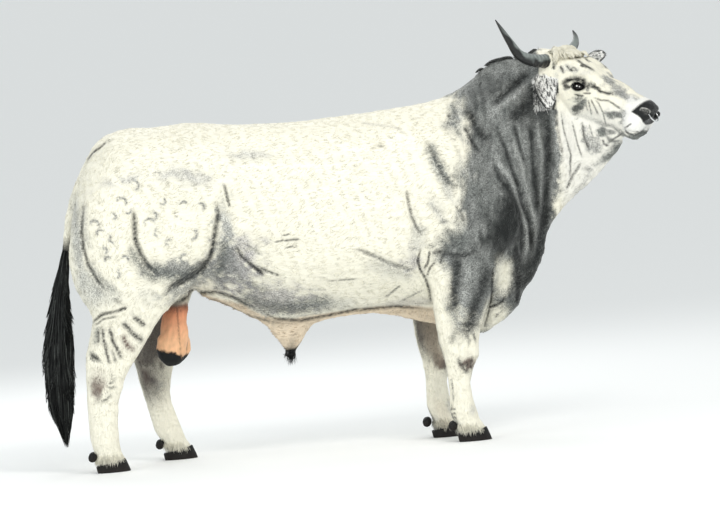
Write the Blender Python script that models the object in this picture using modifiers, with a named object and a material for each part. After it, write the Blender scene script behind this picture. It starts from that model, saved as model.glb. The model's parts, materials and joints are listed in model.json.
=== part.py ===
"""A life-size beef bull standing still, as closed solids that meet with no overlap.

Metres, +Z up, +X towards the head. The bull's right side is at -Y. The origin is on the floor, below the
middle of the whole animal. The body is modelled whole from lofted forms and muscles, fused into one skin,
and then parted with thin cuts into the pieces that a person would name.
"""

import math
import random

import bmesh
import bpy
import numpy as np
from mathutils import Matrix, Vector

# Driving sizes
BARREL_HALF_WIDTH = 0.365
FORE_STANCE = 0.195
HIND_STANCE = 0.225
FAR_FORE_SETBACK = 0.100
FAR_HIND_ADVANCE = 0.285
GAP = 0.0003
SEAT_GAP = 0.0004
VOXEL = 0.0065
SHANK_TOP = 0.72
SKIN_TRIANGLES = 6000
HEAD_WEIGHT = 0.55
FACE_WEIGHT = 0.25
WEIGHT_EFFECT = 0.04
RIGHT = -1
LEFT = 1

# The head's own frame: poll, then forward, left and up over the forehead
POLL = Vector((1.010, -0.070, 1.722))
HEAD_TURN = math.radians(30.0)
HEAD_DROP = math.radians(33.0)

EYE_RADIUS = 0.025
EYE_PLACE = (0.205, -0.078, 0.099)
EYE_TILT = math.radians(26.0)
HORN_SIDES = 8
TAIL_SIDES = 10
RING_RADIUS = 0.036
RING_WIRE = 0.0035
WIRE_SIDES = 6
RING_STEPS = 18
CORONET_HEEL = 0.030
CORONET_SLOPE = 0.22
CLEFT = 0.008
DEWCLAW_HEIGHT = 0.073
GOLDEN_ANGLE = math.pi * (3 - math.sqrt(5))

# Hair: locks of the switch, and the topknot's rows as start along the head, length and count
SWITCH_LOCKS = 42
SHEATH_LOCKS = 6
TOPKNOT_BREADTH = 0.16
TOPKNOT_ROWS = ((-0.045, 0.085, 6), (-0.005, 0.095, 6), (0.045, 0.090, 5), (0.090, 0.070, 3))

# Middle line and radius of the tail's flesh, and of the core of its switch
TAIL_DOCK = (
    ((-1.005, 0.0, 1.452), 0.036),
    ((-1.072, 0.0, 1.450), 0.036),
    ((-1.128, 0.0, 1.398), 0.034),
    ((-1.184, 0.0, 1.310), 0.031),
    ((-1.236, 0.0, 1.205), 0.028),
    ((-1.269, 0.0, 1.090), 0.025),
    ((-1.288, 0.0, 0.990), 0.022),
)
SWITCH_CORE = (
    ((-1.2881, 0.0, 0.9897), 0.022),
    ((-1.303, 0.0, 0.900), 0.022),
    ((-1.332, 0.0, 0.790), 0.026),
    ((-1.352, 0.0, 0.660), 0.032),
    ((-1.364, 0.0, 0.520), 0.030),
    ((-1.370, 0.0, 0.400), 0.018),
)
# Outline of the whole switch: height, middle x, half breadth
SWITCH_MIDDLE = (
    (0.990, -1.284, 0.022),
    (0.900, -1.312, 0.037),
    (0.800, -1.332, 0.050),
    (0.700, -1.342, 0.063),
    (0.600, -1.355, 0.077),
    (0.500, -1.361, 0.080),
    (0.400, -1.368, 0.075),
    (0.300, -1.373, 0.068),
    (0.200, -1.367, 0.048),
    (0.112, -1.356, 0.012),
)

# Where the skin is parted: behind the head in the head's frame, and before the shoulder
NAPE_FOLD = (
    (-0.085, 0.110),
    (-0.050, -0.020),
    (-0.044, -0.180),
    (0.040, -0.245),
    (0.095, -0.305),
    (0.200, -0.290),
    (0.350, -0.238),
    (0.500, -0.214),
    (0.640, -0.205),
)
SHOULDER_FOLD = ((0.480, 0, 1.80), (0.575, 0, 1.50), (0.660, 0, 1.15), (0.740, 0, 0.86), (0.900, 0, 0.70))
FORE_PART_HEIGHT = 0.615
HIND_PART_HEIGHT = 0.735
PIECE_MIDDLES = {
    "head": (1.170, -0.150, 1.540),
    "neck": (0.860, -0.040, 1.280),
    "torso": (-0.280, 0.0, 1.050),
    "foreleg_right": (0.450, -0.200, 0.320),
    "foreleg_left": (0.350, 0.200, 0.320),
    "hindleg_right": (-1.050, -0.210, 0.380),
    "hindleg_left": (-0.900, 0.210, 0.380),
    "scrotum": (-0.840, 0.0, 0.570),
    "sheath": (-0.310, 0.0, 0.500),
}

# Colour, roughness and metallic of each part, by the start of its name
LOOKS = {
    "eye": ((0.02, 0.02, 0.02), 0.15, 0.0),
    "horn": ((0.14, 0.15, 0.15), 0.45, 0.0),
    "claw": ((0.02, 0.02, 0.02), 0.5, 0.0),
    "dewclaw": ((0.02, 0.02, 0.02), 0.5, 0.0),
    "nose_ring": ((0.75, 0.75, 0.76), 0.25, 1.0),
    "tail_switch": ((0.02, 0.022, 0.02), 0.6, 0.0),
    "neck": ((0.12, 0.13, 0.12), 0.8, 0.0),
    "scrotum": ((0.85, 0.42, 0.28), 0.6, 0.0),
    "sheath": ((0.72, 0.60, 0.47), 0.7, 0.0),
    "": ((0.93, 0.90, 0.80), 0.8, 0.0),
}

CUTTERS = []

random.seed(16)


def head_axes():
    """Forward, left and up axes of the head."""
    turn = Matrix.Rotation(-HEAD_TURN, 3, "Z")
    drop = Matrix.Rotation(HEAD_DROP, 3, "Y")
    frame = turn @ drop
    return frame.col[0].copy(), frame.col[1].copy(), frame.col[2].copy()


FORWARD, SIDE, UP = head_axes()


def on_head(along, height, across=0.0):
    """World place of a point given along the head, above its poll line and to its left."""
    return POLL + along * FORWARD + height * UP + across * SIDE


# Helpers that make and fuse meshes


def new_object(name, mesh, home=None):
    obj = bpy.data.objects.new(name, mesh)
    (home or bpy.context.scene.collection).objects.link(obj)
    return obj


def object_from_bmesh(name, shape, home=None):
    bmesh.ops.recalc_face_normals(shape, faces=shape.faces)
    mesh = bpy.data.meshes.new(name)
    shape.to_mesh(mesh)
    shape.free()
    return new_object(name, mesh, home)


def loft(name, rings):
    """A closed skin through rings of equal point counts; a ring of one point is a tip."""
    shape = bmesh.new()
    rows = [[shape.verts.new(point) for point in ring] for ring in rings]
    for first, second in zip(rows[:-1], rows[1:]):
        count = max(len(first), len(second))
        for i in range(count):
            j = (i + 1) % count
            if len(second) == 1:
                shape.faces.new((first[i], first[j], second[0]))
            elif len(first) == 1:
                shape.faces.new((second[j], second[i], first[0]))
            else:
                shape.faces.new((first[i], first[j], second[j], second[i]))
    for row in (rows[0], rows[-1]):
        if len(row) > 1:
            shape.faces.new(row)
    return object_from_bmesh(name, shape)


def smooth_rows(rows, steps):
    """Rows of numbers made denser with a smooth curve through every row."""
    table = np.array(rows, float)
    step = np.linalg.norm(np.diff(table[:, :4], axis=0), axis=1)
    reach = np.concatenate([[0.0], np.cumsum(np.maximum(step, 1e-4))])
    slope = np.gradient(table, reach, axis=0)
    dense = []
    for i in range(len(table) - 1):
        span = reach[i + 1] - reach[i]
        for u in np.linspace(0.0, 1.0, steps, endpoint=False):
            start = (1 + 2 * u) * (1 - u) ** 2 * table[i] + u * (1 - u) ** 2 * span * slope[i]
            end = u * u * (3 - 2 * u) * table[i + 1] + u * u * (u - 1) * span * slope[i + 1]
            dense.append((start + end).tolist())
    dense.append(table[-1].tolist())
    return dense


def section(begin, end, half_width, fullness, across, count=40):
    """A ring from begin to end and back: an ellipse times the fullness at 20, 60, 120 and 160 degrees."""
    k20, k60, k120, k160 = fullness
    ring = []
    for i in range(count):
        turn = 2 * math.pi * i / count
        angle = math.degrees(min(turn, 2 * math.pi - turn))
        full = float(np.interp(angle, (0, 20, 60, 90, 120, 160, 180), (k20, k20, k60, 1, k120, k160, k160)))
        middle = begin.lerp(end, (1 - math.cos(turn)) / 2)
        ring.append(middle + across * (half_width * math.sin(turn) * full))
    return ring


def body_loft(name, stations, steps=5):
    """Stations: bottom x, z, top x, z, half width, centre y, turn in degrees, four fullness factors."""
    rings = []
    for row in smooth_rows(stations, steps):
        low_x, low_z, high_x, high_z, half, centre, turn = row[:7]
        across = Vector((math.sin(math.radians(turn)), math.cos(math.radians(turn)), 0))
        begin = Vector((low_x, centre, low_z))
        end = Vector((high_x, centre, high_z))
        rings.append(section(begin, end, half, row[7:11], across))
    return loft(name, rings)


def head_loft(name, stations, steps=5):
    """Stations in the head's frame: bottom along, height, top along, height, half width, fullness."""
    rings = []
    for row in smooth_rows(stations, steps):
        begin = on_head(row[0], row[1])
        end = on_head(row[2], row[3])
        rings.append(section(begin, end, row[4], row[5:9], SIDE))
    return loft(name, rings)


def muscle(name, centre, radii, lean=(0, 0, 0)):
    """A rounded muscle: a scaled ball leaned about X, Y and Z in degrees."""
    shape = bmesh.new()
    place = Matrix.Translation(centre)
    about_x, about_y, about_z = (math.radians(angle) for angle in lean)
    turn = Matrix.Rotation(about_z, 4, "Z") @ Matrix.Rotation(about_y, 4, "Y") @ Matrix.Rotation(about_x, 4, "X")
    scale = Matrix.Diagonal((*radii, 1))
    bmesh.ops.create_uvsphere(shape, u_segments=24, v_segments=16, radius=1.0, matrix=place @ turn @ scale)
    return object_from_bmesh(name, shape)


def both_sides(name, centre, radii, lean=(0, 0, 0)):
    """A muscle on the left side and its mirror image on the right."""
    x, y, z = centre
    left = muscle(name, (x, y, z), radii, lean)
    right = muscle(name, (x, -y, z), radii, (-lean[0], lean[1], -lean[2]))
    return [left, right]


def tube(name, points, radii, sides):
    """A tapered tube along a smooth curve, as a closed mesh."""
    curve = bpy.data.curves.new(name, "CURVE")
    curve.dimensions = "3D"
    curve.bevel_depth = 1.0
    curve.bevel_resolution = max(0, sides // 2 - 2)
    curve.use_fill_caps = True
    spline = curve.splines.new("POLY")
    rows = smooth_rows([(*point, radius) for point, radius in zip(points, radii)], 2)
    spline.points.add(len(rows) - 1)
    for point, row in zip(spline.points, rows):
        point.co = (row[0], row[1], row[2], 1)
        point.radius = row[3]
    guide = new_object(name, curve)
    mesh = bpy.data.meshes.new_from_object(guide.evaluated_get(bpy.context.evaluated_depsgraph_get()))
    bpy.data.objects.remove(guide)
    shape = bmesh.new()
    shape.from_mesh(mesh)
    bmesh.ops.remove_doubles(shape, verts=shape.verts, dist=0.0001)
    bpy.data.meshes.remove(mesh)
    return object_from_bmesh(name, shape)


def join(name, pieces):
    """One object that holds the meshes of all the pieces."""
    shape = bmesh.new()
    for piece in pieces:
        shape.from_mesh(piece.data)
        bpy.data.objects.remove(piece)
    mesh = bpy.data.meshes.new(name)
    shape.to_mesh(mesh)
    shape.free()
    return new_object(name, mesh)


def apply_modifiers(obj):
    """Replaces the object's mesh by the one its modifiers give."""
    graph = bpy.context.evaluated_depsgraph_get()
    mesh = bpy.data.meshes.new_from_object(obj.evaluated_get(graph))
    obj.modifiers.clear()
    obj.data = mesh
    return obj


def fuse(obj, voxel):
    """Melts overlapping forms into one skin."""
    remesh = obj.modifiers.new("fuse", "REMESH")
    remesh.mode = "VOXEL"
    remesh.voxel_size = voxel
    return apply_modifiers(obj)


def relax(obj, rounds, mask=None):
    """Softens the skin, only where the mask is true if there is one."""
    soften = obj.modifiers.new("relax", "SMOOTH")
    soften.factor = 0.5
    soften.iterations = rounds
    if mask is not None:
        group = obj.vertex_groups.new(name="soft")
        group.add(np.nonzero(mask)[0].tolist(), 1.0, "REPLACE")
        soften.vertex_group = "soft"
    apply_modifiers(obj)
    obj.vertex_groups.clear()
    return obj


def thin_out(obj, triangles, grades):
    """Fewer faces. Grades holds pairs of a mask and a weight; a lower weight keeps more faces there."""
    reduce = obj.modifiers.new("thin out", "DECIMATE")
    reduce.ratio = triangles / (2 * len(obj.data.polygons))
    reduce.use_collapse_triangulate = True
    group = obj.vertex_groups.new(name="thinning")
    for mask, weight in grades:
        group.add(np.nonzero(mask)[0].tolist(), weight, "REPLACE")
    reduce.vertex_group = "thinning"
    reduce.vertex_group_factor = WEIGHT_EFFECT
    apply_modifiers(obj)
    obj.vertex_groups.clear()
    return obj


def boolean(obj, other, operation, solver="EXACT"):
    change = obj.modifiers.new(operation.lower(), "BOOLEAN")
    change.operation = operation
    change.object = other
    change.solver = solver
    return apply_modifiers(obj)


def keep_largest(obj):
    """Leaves only the largest closed surface of the object."""
    parts = loose_parts(obj.data)
    if len(parts) > 1:
        biggest = max(parts, key=len)
        shape = bmesh.new()
        shape.from_mesh(obj.data)
        shape.verts.ensure_lookup_table()
        drop = [vert for vert in shape.verts if vert.index not in biggest]
        bmesh.ops.delete(shape, geom=drop, context="VERTS")
        shape.to_mesh(obj.data)
        shape.free()
    return obj


def loose_parts(mesh):
    """Sets of vertex numbers, one for each connected surface."""
    parent = list(range(len(mesh.vertices)))

    def root(index):
        while parent[index] != index:
            parent[index] = parent[parent[index]]
            index = parent[index]
        return index

    for edge in mesh.edges:
        first, second = (root(index) for index in edge.vertices)
        parent[first] = second
    groups = {}
    for index in range(len(parent)):
        groups.setdefault(root(index), set()).add(index)
    return list(groups.values())


def hidden(obj):
    """Notes the object as a cutter."""
    CUTTERS.append(obj)
    return obj


def seat_of(obj):
    """A cutter the shape of the object grown by a gap all round, which cuts a seat for it."""
    seat = new_object(obj.name + "_seat", obj.data.copy())
    grow = seat.modifiers.new("grow", "DISPLACE")
    grow.mid_level = 0.0
    grow.strength = SEAT_GAP
    return hidden(apply_modifiers(seat))


def sheet_cutter(fold, sweep):
    """A folded sheet one gap thick: the fold's points swept along a vector both ways."""
    shape = bmesh.new()
    near = [shape.verts.new(Vector(point) - sweep) for point in fold]
    far = [shape.verts.new(Vector(point) + sweep) for point in fold]
    for i in range(len(fold) - 1):
        shape.faces.new((near[i], near[i + 1], far[i + 1], far[i]))
    cutter = object_from_bmesh("sheet_cutter", shape)
    wall = cutter.modifiers.new("wall", "SOLIDIFY")
    wall.thickness = GAP
    wall.offset = 0.0
    wall.use_even_offset = True
    return hidden(apply_modifiers(cutter))


# The whole skin, form by form


def trunk():
    """Barrel, rump and shoulders, from the pins to the base of the neck."""
    wide = BARREL_HALF_WIDTH
    return body_loft(
        "trunk",
        [
            (-1.235, 1.000, -1.235, 1.215, 0.120, 0, 0, 1.0, 1.0, 1.0, 1.0),
            (-1.190, 0.930, -1.190, 1.345, 0.205, 0, 0, 1.0, 1.0, 1.0, 0.9),
            (-1.110, 0.860, -1.110, 1.478, 0.270, 0, 0, 1.0, 1.0, 1.0, 0.9),
            (-1.000, 0.815, -1.000, 1.524, 0.305, 0, 0, 1.0, 1.0, 1.05, 1.15),
            (-0.850, 0.800, -0.850, 1.520, 0.325, 0, 0, 1.0, 1.0, 1.1, 1.45),
            (-0.690, 0.765, -0.690, 1.528, 0.335, 0, 0, 0.9, 1.0, 1.12, 1.5),
            (-0.500, 0.690, -0.500, 1.503, 0.335, 0, 0, 0.9, 1.0, 1.1, 1.4),
            (-0.280, 0.622, -0.280, 1.492, 0.92 * wide + 0.015, 0, 0, 0.9, 1.02, 1.05, 1.3),
            (0.000, 0.630, 0.000, 1.500, wide, 0, 0, 0.9, 1.05, 1.0, 1.25),
            (0.250, 0.620, 0.250, 1.516, wide - 0.02, 0, 0, 0.9, 1.02, 0.95, 1.1),
            (0.450, 0.590, 0.450, 1.542, 0.325, 0, 0, 0.9, 1.0, 0.92, 0.95),
            (0.600, 0.600, 0.580, 1.598, 0.295, 0, 0, 0.9, 1.0, 0.88, 0.8),
            (0.720, 0.700, 0.660, 1.645, 0.240, 0, 0, 0.9, 1.0, 0.88, 0.7),
        ],
    )


def neck():
    """The thick crested neck, turning with the head towards the right."""
    return body_loft(
        "neck",
        [
            (0.480, 0.640, 0.430, 1.515, 0.290, 0.000, 0, 0.8, 1.0, 0.9, 0.8),
            (0.640, 0.690, 0.560, 1.592, 0.275, 0.000, 0, 0.7, 1.0, 0.88, 0.72),
            (0.745, 0.840, 0.670, 1.666, 0.240, 0.000, 2, 0.6, 0.98, 0.86, 0.65),
            (0.840, 0.985, 0.765, 1.700, 0.205, -0.006, 8, 0.55, 0.95, 0.86, 0.62),
            (0.930, 1.120, 0.850, 1.686, 0.172, -0.022, 16, 0.55, 0.95, 0.88, 0.70),
            (1.015, 1.235, 0.920, 1.650, 0.146, -0.044, 24, 0.7, 0.95, 0.95, 0.9),
            (1.090, 1.320, 1.000, 1.625, 0.126, -0.074, 30, 0.8, 1.0, 1.0, 1.1),
        ],
    )


def dewlap():
    """The thin fold from the chin down the throat to the brisket, and on between the forelegs."""
    return body_loft(
        "dewlap",
        [
            (1.256, 1.276, 1.160, 1.420, 0.036, -0.165, 30, 0.9, 0.9, 1.1, 1.0),
            (1.194, 1.188, 1.020, 1.420, 0.060, -0.120, 28, 0.7, 0.8, 1.2, 1.2),
            (1.122, 1.112, 0.930, 1.360, 0.070, -0.085, 24, 0.65, 0.75, 1.2, 1.3),
            (1.022, 1.036, 0.830, 1.270, 0.072, -0.052, 18, 0.65, 0.75, 1.3, 1.4),
            (0.900, 0.908, 0.730, 1.080, 0.066, -0.018, 8, 0.7, 0.8, 1.4, 1.6),
            (0.852, 0.760, 0.680, 0.880, 0.056, 0.000, 0, 0.8, 0.9, 1.5, 2.0),
            (0.782, 0.665, 0.640, 0.790, 0.056, 0.000, 0, 0.9, 1.0, 1.6, 2.2),
            (0.672, 0.572, 0.580, 0.700, 0.055, 0.000, 0, 1.2, 1.2, 1.6, 2.0),
            (0.585, 0.472, 0.520, 0.690, 0.070, 0.000, 0, 1.2, 1.1, 1.4, 1.6),
            (0.470, 0.470, 0.440, 0.700, 0.062, 0.000, 0, 1.1, 1.1, 1.4, 1.6),
            (0.340, 0.520, 0.320, 0.700, 0.045, 0.000, 0, 1.1, 1.1, 1.4, 1.6),
            (0.200, 0.562, 0.190, 0.720, 0.032, 0.000, 0, 1.1, 1.1, 1.4, 1.6),
            (0.060, 0.592, 0.060, 0.740, 0.026, 0.000, 0, 1.1, 1.1, 1.4, 1.6),
        ],
    )


def navel_fold():
    """The skin fold under the belly that carries the sheath."""
    return body_loft(
        "navel_fold",
        [
            (-0.720, 0.735, -0.720, 0.860, 0.026, 0, 0, 1.0, 1.1, 1.4, 1.6),
            (-0.600, 0.686, -0.600, 0.810, 0.028, 0, 0, 1.0, 1.1, 1.4, 1.6),
            (-0.480, 0.618, -0.480, 0.740, 0.032, 0, 0, 1.0, 1.1, 1.4, 1.6),
            (-0.410, 0.575, -0.400, 0.700, 0.036, 0, 0, 1.0, 1.1, 1.4, 1.6),
            (-0.330, 0.548, -0.320, 0.690, 0.038, 0, 0, 1.0, 1.1, 1.4, 1.6),
            (-0.250, 0.556, -0.250, 0.690, 0.034, 0, 0, 1.0, 1.1, 1.4, 1.6),
            (-0.160, 0.578, -0.160, 0.700, 0.030, 0, 0, 1.0, 1.1, 1.4, 1.6),
            (0.080, 0.592, 0.080, 0.720, 0.026, 0, 0, 1.0, 1.1, 1.4, 1.6),
        ],
    )


def limb(name, side, stance, levels):
    """A leg from level rings: height, rear x, front x, half width, how far it leans out from the stance."""
    rings = []
    for row in smooth_rows(levels, 4):
        height, rear, front, half, lean = row[:5]
        centre = side * (stance + lean)
        begin = Vector((rear, centre, height))
        end = Vector((front, centre, height))
        rings.append(section(begin, end, half, (1.1, 1.0, 1.0, 1.1), Vector((0, 1, 0)), 28))
    return loft(name, rings)


def foreleg(side):
    """A foreleg from the coronet to the upper arm. The left one stands a little further back."""
    back = FAR_FORE_SETBACK if side == LEFT else 0.0
    levels = [
        (0.012, 0.410, 0.545, 0.060, 0.0),
        (0.055, 0.400, 0.528, 0.061, 0.0),
        (0.095, 0.384, 0.505, 0.057, 0.0),
        (0.140, 0.371, 0.494, 0.060, 0.0),
        (0.200, 0.374, 0.481, 0.047, 0.0),
        (0.270, 0.374, 0.480, 0.045, 0.0),
        (0.330, 0.369, 0.500, 0.052, 0.0),
        (0.385, 0.360, 0.527, 0.061, 0.0),
        (0.440, 0.347, 0.532, 0.062, 0.0),
        (0.500, 0.341, 0.546, 0.064, 0.002),
        (0.570, 0.336, 0.572, 0.074, 0.006),
        (0.650, 0.333, 0.606, 0.088, 0.012),
        (0.740, 0.332, 0.650, 0.098, 0.022),
        (0.840, 0.340, 0.700, 0.098, 0.036),
        (0.960, 0.390, 0.740, 0.085, 0.050),
    ]
    moved = []
    for height, rear, front, half, lean in levels:
        share = back * max(0.0, min(1.0, (0.92 - height) / 0.36))
        moved.append((height, rear - share, front - share, half, lean))
    return limb("foreleg", side, FORE_STANCE, moved)


def hindleg(side):
    """A hind leg from the coronet to the thigh. The left one is a step further forward."""
    levels = [
        (0.012, -1.224, -1.075, 0.060, 0.0),
        (0.050, -1.228, -1.092, 0.060, 0.0),
        (0.085, -1.236, -1.108, 0.056, 0.0),
        (0.125, -1.246, -1.114, 0.059, 0.0),
        (0.190, -1.251, -1.113, 0.048, 0.0),
        (0.280, -1.252, -1.106, 0.046, 0.0),
        (0.360, -1.248, -1.084, 0.050, 0.0),
        (0.440, -1.243, -1.048, 0.057, -0.002),
        (0.510, -1.240, -0.998, 0.062, -0.004),
        (0.575, -1.226, -0.950, 0.060, -0.006),
        (0.640, -1.203, -0.906, 0.064, -0.008),
        (0.700, -1.196, -0.850, 0.080, -0.012),
        (0.760, -1.230, -0.775, 0.100, -0.018),
        (0.840, -1.266, -0.690, 0.122, -0.024),
        (0.950, -1.282, -0.630, 0.138, -0.030),
        (1.080, -1.262, -0.600, 0.140, -0.036),
        (1.200, -1.225, -0.620, 0.120, -0.045),
    ]
    if side == LEFT:
        knots = (0.05, 0.12, 0.20, 0.30, 0.40, 0.52, 0.64, 0.76, 0.90, 1.08)
        rear_steps = (0.312, 0.282, 0.268, 0.246, 0.216, 0.196, 0.165, 0.130, 0.060, 0.0)
        front_steps = (0.292, 0.279, 0.256, 0.224, 0.205, 0.190, 0.130, 0.050, 0.010, 0.0)
        moved = []
        for height, rear, front, half, lean in levels:
            rear += float(np.interp(height, knots, rear_steps))
            front += float(np.interp(height, knots, front_steps))
            moved.append((height, rear, front, half, lean))
        levels = moved
    return limb("hindleg", side, HIND_STANCE, levels)


def head():
    """Skull, face and muzzle."""
    return [
        head_loft(
            "head",
            [
                (-0.100, -0.250, -0.110, -0.060, 0.100, 0.9, 1.0, 1.0, 1.1),
                (-0.020, -0.275, -0.040, -0.030, 0.116, 0.9, 1.0, 1.0, 1.3),
                (0.080, -0.278, 0.050, -0.006, 0.122, 0.9, 0.95, 1.02, 1.4),
                (0.180, -0.262, 0.150, 0.014, 0.121, 0.9, 0.92, 1.02, 1.45),
                (0.270, -0.238, 0.250, 0.009, 0.105, 0.95, 0.90, 1.0, 1.4),
                (0.350, -0.212, 0.330, 0.008, 0.086, 1.0, 0.90, 0.98, 1.3),
                (0.420, -0.196, 0.410, 0.009, 0.074, 1.1, 0.96, 0.98, 1.25),
                (0.480, -0.192, 0.470, 0.012, 0.079, 1.1, 1.05, 1.0, 1.25),
                (0.520, -0.176, 0.516, 0.012, 0.079, 1.1, 1.08, 1.0, 1.25),
                (0.537, -0.140, 0.543, -0.001, 0.067, 1.2, 1.08, 1.0, 1.3),
                (0.546, -0.106, 0.554, -0.030, 0.040, 1.0, 1.0, 1.0, 1.1),
            ],
        ),
        *head_pair("cheek", (0.090, -0.175, 0.074), (0.105, 0.082, 0.040), 10),
        *head_pair("brow", (0.188, -0.016, 0.078), (0.060, 0.028, 0.032), 4),
        *head_pair("cheekbone", (0.235, -0.125, 0.080), (0.085, 0.028, 0.026), 8),
        *head_pair("flews", (0.500, -0.120, 0.040), (0.050, 0.052, 0.038), -30),
        *head_pair("nose_wing", (0.528, -0.040, 0.044), (0.036, 0.038, 0.030), 0),
        *head_pair("eye_ball_swell", (0.205, -0.078, 0.094), (0.046, 0.036, 0.034), 0),
        head_ball("chin", (0.500, -0.164, 0.0), (0.038, 0.024, 0.040), 0),
        head_ball("poll_knob", (-0.030, -0.040, 0.0), (0.045, 0.028, 0.085), 0),
        *head_pair("horn_seat", (0.008, -0.056, 0.086), (0.050, 0.042, 0.038), 0),
        *head_pair("ear_seat", (0.014, -0.136, 0.102), (0.036, 0.034, 0.034), 0),
    ]


def head_ball(name, place, radii, pitch):
    """A ball on the head: place and radii along, up and across, tipped by the pitch in degrees."""
    shape = bmesh.new()
    frame = Matrix((FORWARD, UP, SIDE)).transposed().to_4x4()
    tip = Matrix.Rotation(math.radians(pitch), 4, "Z")
    size = Matrix.Diagonal((*radii, 1))
    matrix = Matrix.Translation(on_head(place[0], place[1], place[2])) @ frame @ tip @ size
    bmesh.ops.create_uvsphere(shape, u_segments=20, v_segments=14, radius=1.0, matrix=matrix)
    return object_from_bmesh(name, shape)


def head_pair(name, place, radii, pitch):
    along, height, across = place
    return [head_ball(name, (along, height, side * across), radii, pitch) for side in (RIGHT, LEFT)]


def muscles():
    """The muscles that stand out on the trunk and the tops of the legs."""
    return [
        *both_sides("thigh_front", (-0.775, 0.195, 1.060), (0.185, 0.155, 0.225), (0, 8, 0)),
        *both_sides("thigh_rear", (-1.055, 0.190, 1.090), (0.175, 0.160, 0.260), (0, 8, 0)),
        *both_sides("thigh_back_edge", (-1.180, 0.118, 1.050), (0.085, 0.110, 0.225), (0, 4, 0)),
        *both_sides("hook", (-0.690, 0.228, 1.380), (0.110, 0.100, 0.085)),
        *both_sides("pin", (-1.090, 0.112, 1.310), (0.095, 0.085, 0.085), (0, 30, 0)),
        *both_sides("loin", (-0.420, 0.130, 1.400), (0.300, 0.130, 0.095)),
        *both_sides("rump", (-0.890, 0.155, 1.370), (0.220, 0.150, 0.125), (0, 8, 0)),
        *both_sides("blade", (0.460, 0.205, 1.160), (0.160, 0.105, 0.280), (0, -14, 0)),
        *both_sides("shoulder_point", (0.650, 0.190, 1.010), (0.120, 0.125, 0.170), (0, -10, 0)),
        *both_sides("upper_arm", (0.520, 0.235, 0.890), (0.150, 0.105, 0.180), (0, 20, 0)),
        *both_sides("elbow", (0.400, 0.225, 0.830), (0.070, 0.080, 0.110)),
        *both_sides("neck_muscle", (0.720, 0.105, 1.370), (0.190, 0.120, 0.230), (0, -35, 4)),
        *both_sides("crest_side", (0.745, 0.050, 1.545), (0.150, 0.072, 0.108), (0, -10, 0)),
        *both_sides("forearm", (0.500, 0.215, 0.680), (0.105, 0.088, 0.140), (0, 10, 0)),
        muscle("brisket", (0.590, 0.0, 0.625), (0.125, 0.110, 0.130), (0, -30, 0)),
        muscle("chest", (0.640, 0.0, 0.900), (0.150, 0.200, 0.210)),
        muscle("hump", (0.740, 0.0, 1.590), (0.140, 0.080, 0.106), (0, -8, 0)),
    ]


def skin():
    """All forms of flesh fused into one fine skin."""
    forms = [trunk(), neck(), dewlap(), navel_fold(), *muscles(), *head()]
    forms += [foreleg(side) for side in (RIGHT, LEFT)]
    forms += [hindleg(side) for side in (RIGHT, LEFT)]
    forms += scrotum_forms()
    forms += sheath_forms()
    whole = fuse(join("skin", forms), VOXEL)
    places = vertex_array(whole.data)
    flesh = ~head_mask(whole.data) & (places[:, 2] > SHANK_TOP)
    relax(whole, 110, flesh)
    relax(whole, 22, head_mask(whole.data) & ~face_mask(whole.data))
    return relax(whole, 10)


def vertex_array(mesh):
    places = np.empty(len(mesh.vertices) * 3, np.float32)
    mesh.vertices.foreach_get("co", places)
    return places.reshape(-1, 3).astype(float)


def normal_array(mesh):
    normals = np.empty(len(mesh.vertices) * 3, np.float32)
    mesh.vertices.foreach_get("normal", normals)
    return normals.reshape(-1, 3).astype(float)


def path_distance(places, path):
    """Distance of each place from a path of straight runs."""
    nearest = np.full(len(places), np.inf)
    for start, end in zip(path[:-1], path[1:]):
        run = np.array(end - start)
        toward = places - np.array(start)
        share = np.clip(toward @ run / (run @ run), 0, 1)
        nearest = np.minimum(nearest, np.linalg.norm(toward - share[:, None] * run, axis=1))
    return nearest


def press(places, normals, path, width, depth):
    """Presses a soft groove along a path into the skin."""
    far = path_distance(places, path)
    places -= normals * (depth * np.exp(-((far / width) ** 2)))[:, None]


def carve_face(obj):
    """Mouth line, nostrils and the folds round the eyes."""
    mesh = obj.data
    places = vertex_array(mesh)
    normals = normal_array(mesh)
    for side in (RIGHT, LEFT):
        mouth = [
            on_head(0.570, -0.100, side * 0.000),
            on_head(0.558, -0.106, side * 0.030),
            on_head(0.530, -0.130, side * 0.062),
            on_head(0.490, -0.152, side * 0.078),
            on_head(0.440, -0.148, side * 0.080),
        ]
        press(places, normals, mouth, 0.0085, 0.012)
        nostril = [
            on_head(0.560, -0.042, side * 0.024),
            on_head(0.552, -0.022, side * 0.044),
            on_head(0.532, -0.020, side * 0.062),
        ]
        press(places, normals, nostril, 0.0105, 0.022)
    mesh.vertices.foreach_set("co", places.astype(np.float32).ravel())
    mesh.update()


def in_head_frame(mesh):
    """Places of the vertices along, above and across the head."""
    places = vertex_array(mesh) - np.array(POLL)
    return places @ np.array(FORWARD), places @ np.array(UP), places @ np.array(SIDE)


def head_mask(mesh):
    """True for the vertices of the head, which keep finer faces."""
    along, height, across = in_head_frame(mesh)
    return (along > -0.06) & (np.abs(across) < 0.2) & (height > -0.30) & (height < 0.2)


def face_mask(mesh):
    """True for the muzzle and the eyes, which keep the finest faces."""
    along, height, across = in_head_frame(mesh)
    muzzle = (along > 0.42) & (height > -0.22)
    eyes = (np.abs(along - EYE_PLACE[0]) < 0.06) & (np.abs(height - EYE_PLACE[1]) < 0.045)
    return muzzle | (eyes & (np.abs(across) > 0.06))


def scrotum_forms():
    """Two testes in one pouch that hangs between the thighs."""
    return [
        muscle("testis_right", (-0.853, -0.036, 0.523), (0.073, 0.048, 0.092), (0, 4, 0)),
        muscle("testis_left", (-0.824, 0.036, 0.530), (0.064, 0.046, 0.088), (0, 4, 0)),
        muscle("scrotum_neck", (-0.812, 0.0, 0.700), (0.056, 0.046, 0.150), (0, 8, 0)),
    ]


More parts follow.
